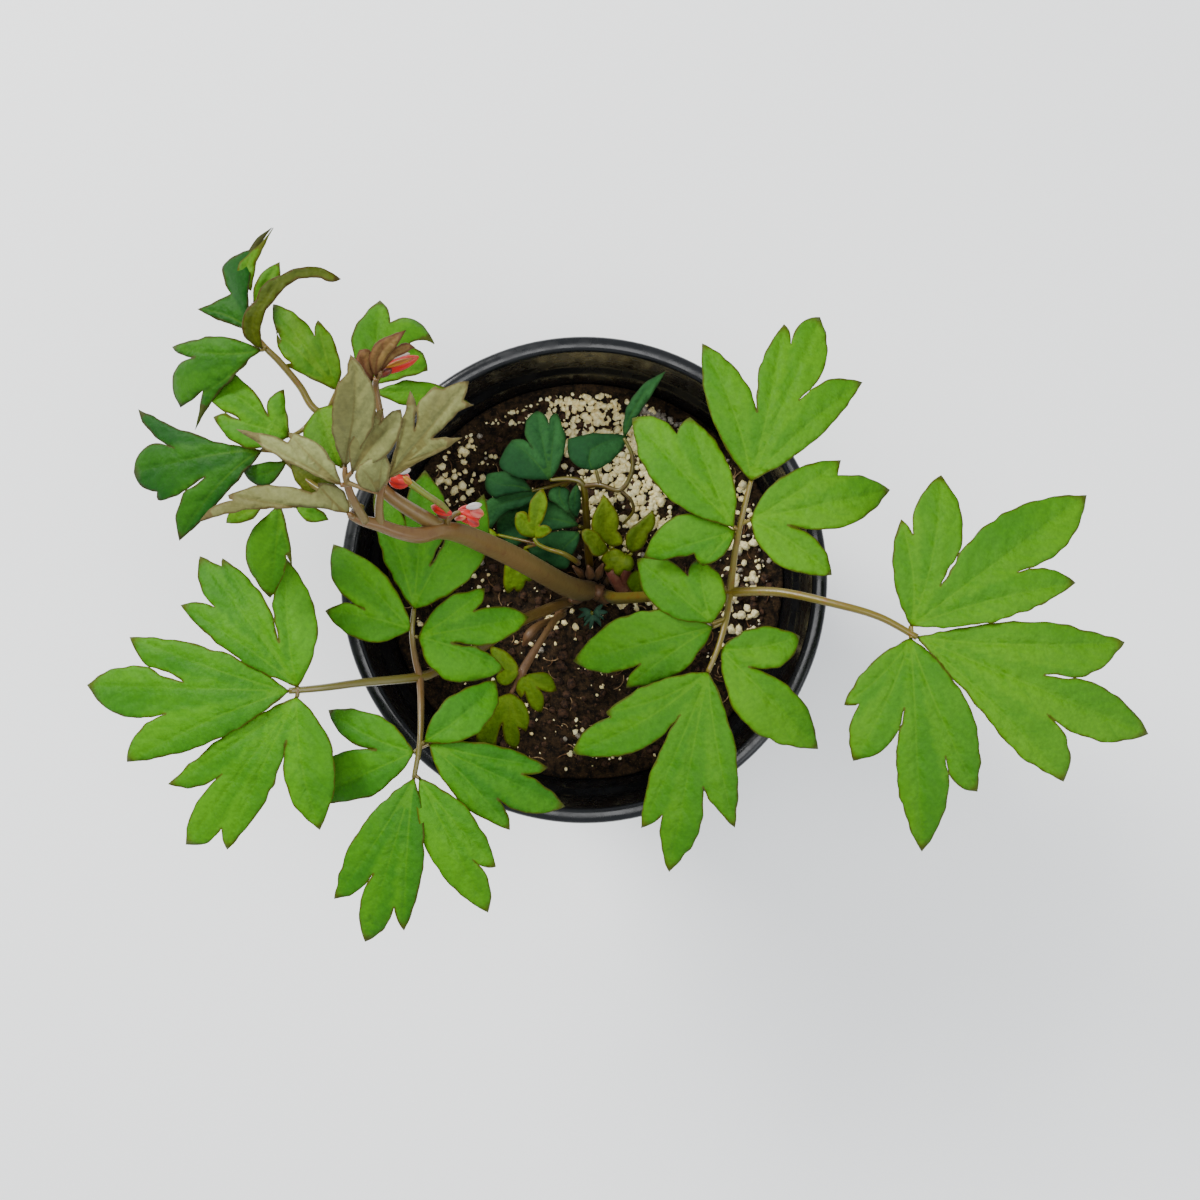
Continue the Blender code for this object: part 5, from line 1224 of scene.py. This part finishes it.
def build_pot():
    """The pot's turned wall with rounded corners and its drain openings cut by a Boolean."""
    points, faces = turned(rounded(pot_profile(), CORNER_ROUND), POT_SEGMENTS)
    work = bmesh.new()
    rows = [work.verts.new(point) for point in points]
    for face in faces:
        work.faces.new([rows[i] for i in face])
    bmesh.ops.recalc_face_normals(work, faces=work.faces)
    made = shaped("pot_form", work)
    drill = bmesh.new()
    for i in range(DRAIN_HOLES):
        turn = 2 * math.pi * (i + 0.5) / DRAIN_HOLES
        place = Matrix.Translation((DRAIN_CIRCLE * math.cos(turn), DRAIN_CIRCLE * math.sin(turn), 0))
        bmesh.ops.create_cone(drill, cap_ends=True, segments=32, radius1=DRAIN_RADIUS, radius2=DRAIN_RADIUS,
                              depth=DRAIN_DEPTH, matrix=place)
    cutter = shaped("drill", drill)
    step = made.modifiers.new("drain", "BOOLEAN")
    step.operation = "DIFFERENCE"
    step.object = cutter
    step.solver = "MANIFOLD"
    graph = bpy.context.evaluated_depsgraph_get()
    graph.update()
    made.data = bpy.data.meshes.new_from_object(made.evaluated_get(graph))
    made.modifiers.clear()
    bpy.data.objects.remove(cutter)
    made.data.materials.clear()
    made.data.materials.append(pot_look())
    made.data.shade_smooth()
    made.data.set_sharp_from_angle(angle=math.radians(50))
    adopt(made, "pot")


def soil_height(x, y):
    """The soil's top: a low crown in the middle, small lumps, and crumbs on them."""
    reach = math.hypot(x, y) / wall_radius(SOIL_TOP)
    large, small, crumb, fine = (noise.noise(Vector((x, y, seed)) * rate) * size for rate, seed, size in SOIL_LUMPS)
    return SOIL_TOP + SOIL_CROWN * (1 - reach * reach) + (large + small) + (crumb + abs(fine))


def build_soil():
    """A crumbly top on the filled pot, down to its floor."""
    outer = wall_radius(SOIL_TOP) - WALL - SOIL_GAP
    points = [(0, 0, soil_height(0, 0))]
    for ring in range(1, SOIL_RINGS + 1):
        for k in range(SOIL_SECTORS):
            turn = 2 * math.pi * (k + 0.5 * (ring % 2)) / SOIL_SECTORS
            x, y = outer * ring / SOIL_RINGS * math.cos(turn), outer * ring / SOIL_RINGS * math.sin(turn)
            height = soil_height(x, y)
            trim = min(1, (wall_radius(height) - WALL - SOIL_GAP) / outer) * 0.999
            points.append((x * trim, y * trim, height))
    for radius, height in ((wall_radius(SOIL_FOOT) - WALL - SOIL_GAP, SOIL_FOOT),
                           (wall_radius(FLOOR) - WALL - 0.0046, FLOOR + SOIL_GAP)):
        for k in range(SOIL_SECTORS):
            turn = 2 * math.pi * k / SOIL_SECTORS
            points.append((radius * 0.997 * math.cos(turn), radius * 0.997 * math.sin(turn), height))
    faces = [(0, 1 + k, 1 + (k + 1) % SOIL_SECTORS) for k in range(SOIL_SECTORS)]
    for ring in range(SOIL_RINGS + 1):
        for k in range(SOIL_SECTORS):
            a, b = 1 + ring * SOIL_SECTORS + k, 1 + ring * SOIL_SECTORS + (k + 1) % SOIL_SECTORS
            faces.append((a, a + SOIL_SECTORS, b + SOIL_SECTORS, b))
    last = 1 + (SOIL_RINGS + 1) * SOIL_SECTORS
    faces.append(tuple(last + k for k in reversed(range(SOIL_SECTORS))))
    piece = Piece()
    piece.add(points, faces, 0)
    piece.make("soil_form", [soil_look()], "soil")


def lump(piece, centre, radius, seed, slot):
    """A rough pebble: an icosphere moved in and out by noise."""
    work = bmesh.new()
    bmesh.ops.create_icosphere(work, subdivisions=2 if radius > COARSE_GRAIN else 1, radius=1.0)
    turn = Matrix.Rotation(seed * 1.9, 3, "Z") @ Matrix.Rotation(seed * 0.7, 3, "X")
    points = []
    for vert in work.verts:
        way = vert.co.normalized()
        out = 1 + PEBBLE_RAGGED * noise.noise(way * PEBBLE_RATE + Vector((seed * 3.7, seed, 0)))
        spot = turn @ Vector((way.x * out, way.y * out * PEBBLE_WIDTH, way.z * out * PEBBLE_HEIGHT))
        points.append(Vector(centre) + spot * radius)
    faces = [[vert.index for vert in face.verts] for face in work.faces]
    work.free()
    piece.add(points, faces, slot)


def grain_spots(chance):
    """Places, sizes and kinds of the grains: patches where the photo shows many, and a thin scatter."""
    spots = []
    for (low_x, high_x, low_y, high_y), count, slot, low, high in GRAIN_PATCHES:
        for _ in range(count):
            spot = lift(low_x + (high_x - low_x) * chance.random(), low_y + (high_y - low_y) * chance.random(),
                        GRAIN_HEIGHT)
            size = low + (high - low) * chance.random() ** 1.8
            if spot.xy.length < GRAIN_REACH - size:
                spots.append((spot.x, spot.y, size, slot))
    for count, slot, low, high in GRAIN_SCATTER:
        for _ in range(count):
            reach, turn = GRAIN_REACH * math.sqrt(chance.random()), chance.random() * 2 * math.pi
            size = low + (high - low) * chance.random() ** 2.2
            if reach < GRAIN_REACH - size:
                spots.append((reach * math.cos(turn), reach * math.sin(turn), size, slot))
    return spots


def build_grains(chance, stems):
    """Perlite and bits of bark that lie in the soil, clear of the stems."""
    piece = Piece()
    for x, y, radius, slot in grain_spots(chance):
        if any((Vector((x, y)) - foot).length < radius + reach for foot, reach in stems):
            continue
        lump(piece, (x, y, soil_height(x, y) + radius * 0.25), radius, chance.random() * 40, slot)
    piece.make("soil_grains", [grain_look(name, *look) for name, look in GRAIN_LOOKS.items()], None)


def build_fibres(chance):
    """Short bent root fibres on the soil."""
    piece = Piece()
    for i in range(FIBRES):
        reach, turn = FIBRE_SPREAD * math.sqrt(chance.random()), chance.random() * 2 * math.pi
        x, y = reach * math.cos(turn), reach * math.sin(turn)
        way, length = chance.random() * 2 * math.pi, FIBRE_SHORT + FIBRE_RANGE * chance.random()
        path = []
        for k in range(FIBRE_KNOTS):
            share = k / (FIBRE_KNOTS - 1) - 0.5
            px = x + math.cos(way + share * FIBRE_BEND) * length * share
            py = y + math.sin(way + share * FIBRE_BEND) * length * share
            if math.hypot(px, py) > FIBRE_REACH:
                px, py = px * 0.9, py * 0.9
            path.append((px, py, soil_height(px, py) + FIBRE_LIFT, FIBRE_THIN + FIBRE_SWELL * chance.random()))
        add_tube(piece, path, i % 2, FIBRE_SIDES)
    piece.make("soil_fibres", [grain_look(name, *look) for name, look in FIBRE_LOOKS.items()], None)


def add_petal(piece, start, end, across, slot, grooves, turn, depth, flat):
    """A closed bud or petal: an egg along its own axis with lengthwise grooves."""
    start, end = lift(*start), lift(*end)
    axis = end - start
    lean = axis.to_track_quat("Z", "Y").to_matrix()
    points, side, along = [], [], []
    for share, width in BUD_SHAPE:
        for k in range(BUD_SIDES):
            angle = 2 * math.pi * k / BUD_SIDES + turn
            groove = abs(math.cos(angle * grooves / 2)) ** 0.6
            radius = across / 2 * width * (1 - depth * (1 - groove))
            spot = lean @ Vector((math.cos(angle) * radius, math.sin(angle) * radius * flat, 0))
            points.append(start + axis * share + spot)
            # The side mark runs from -1 in a groove to 1 on a ridge; the petal's look paints shade and light by it
            side.append(groove * 2 - 1)
            along.append(share)
    piece.add(points, ring_faces(len(BUD_SHAPE), BUD_SIDES), slot, side=side, along=along)


def build_buds():
    """The four buds, each of a few petals."""
    looks = [petal_look(name, *look) for name, look in PETAL_LOOKS.items()]
    for name, petals in BUDS.items():
        piece = Piece()
        for petal in petals:
            add_petal(piece, *petal)
        piece.make(name + "_form", looks, name)


def build_plant():
    """Every leaf, shoot and stem that the tables hold."""
    looks = {name: stalk_look(name, *look) for name, look in STALK_LOOKS.items()}
    looks |= {name: blade_look(name, *colours, **changes) for name, (*colours, changes) in BLADE_LOOKS.items()}
    for name, leaflets, stalks, kinds, slot, changes in LEAVES:
        leaf(name, leaflets, stalks, [looks[kind] for kind in kinds], slot, **changes)


def build_stage():
    """The pale floor, the soft lights, and the camera that looks straight down as in the photo."""
    mesh = bpy.data.meshes.new("floor")
    reach = FLOOR_REACH
    mesh.from_pydata([(-reach, -reach, 0), (reach, -reach, 0), (reach, reach, 0), (-reach, reach, 0)], [],
                     [(0, 1, 2, 3)])
    floor = placed("floor", mesh)
    floor.location.z = -FLOOR_DROP
    look = Look("floor_pale", 0.9, 0.2)
    look.feed(look.inputs["Base Color"], FLOOR_COLOUR)
    mesh.materials.append(look.made)
    world = bpy.data.worlds.new("studio")
    world.use_nodes = True
    sky = world.node_tree.nodes["Background"].inputs
    sky["Color"].default_value = (*WORLD_COLOUR, 1)
    sky["Strength"].default_value = WORLD_STRENGTH
    bpy.context.scene.world = world
    for name, (place, aim, size, power, colour) in LIGHTS.items():
        data = bpy.data.lights.new(name, "AREA")
        data.shape = "DISK"
        data.size = size
        data.energy = power
        data.color = colour
        light = placed(name, data)
        light.location = place
        light.rotation_euler = (Vector(aim) - Vector(place)).to_track_quat("-Z", "Y").to_euler()
    camera = bpy.data.cameras.new("camera")
    camera.sensor_width = 36
    camera.lens = VIEW_FOCAL / VIEW_WIDTH * camera.sensor_width
    camera.clip_start = 0.01
    seen = placed("camera", camera)
    seen.location = (AXIS_X, AXIS_Y, EYE_HEIGHT)
    bpy.context.scene.camera = seen


def main():
    """Builds everything. The soil's grains keep clear of each foot: the second knot of a leaf's main stalk."""
    noise.seed_set(SEED)
    build_stage()
    build_pot()
    build_plant()
    build_buds()
    build_soil()
    stems = []
    for stalks in (STEM_STALKS, RIGHT_STALKS, LEFT_STALKS, DARK_STALKS, YELLOW_STALKS, OLIVE_STALKS, LOW_STALKS,
                   BUD_SCALE_STALKS, SEEDLING_STALKS):
        x, y, height, across = stalks[0][1]
        stems.append((lift(x, y, height / 1000).xy, across / 2000))
    chance = random.Random(SEED)
    build_grains(chance, stems)
    build_fibres(chance)


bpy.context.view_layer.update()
main()
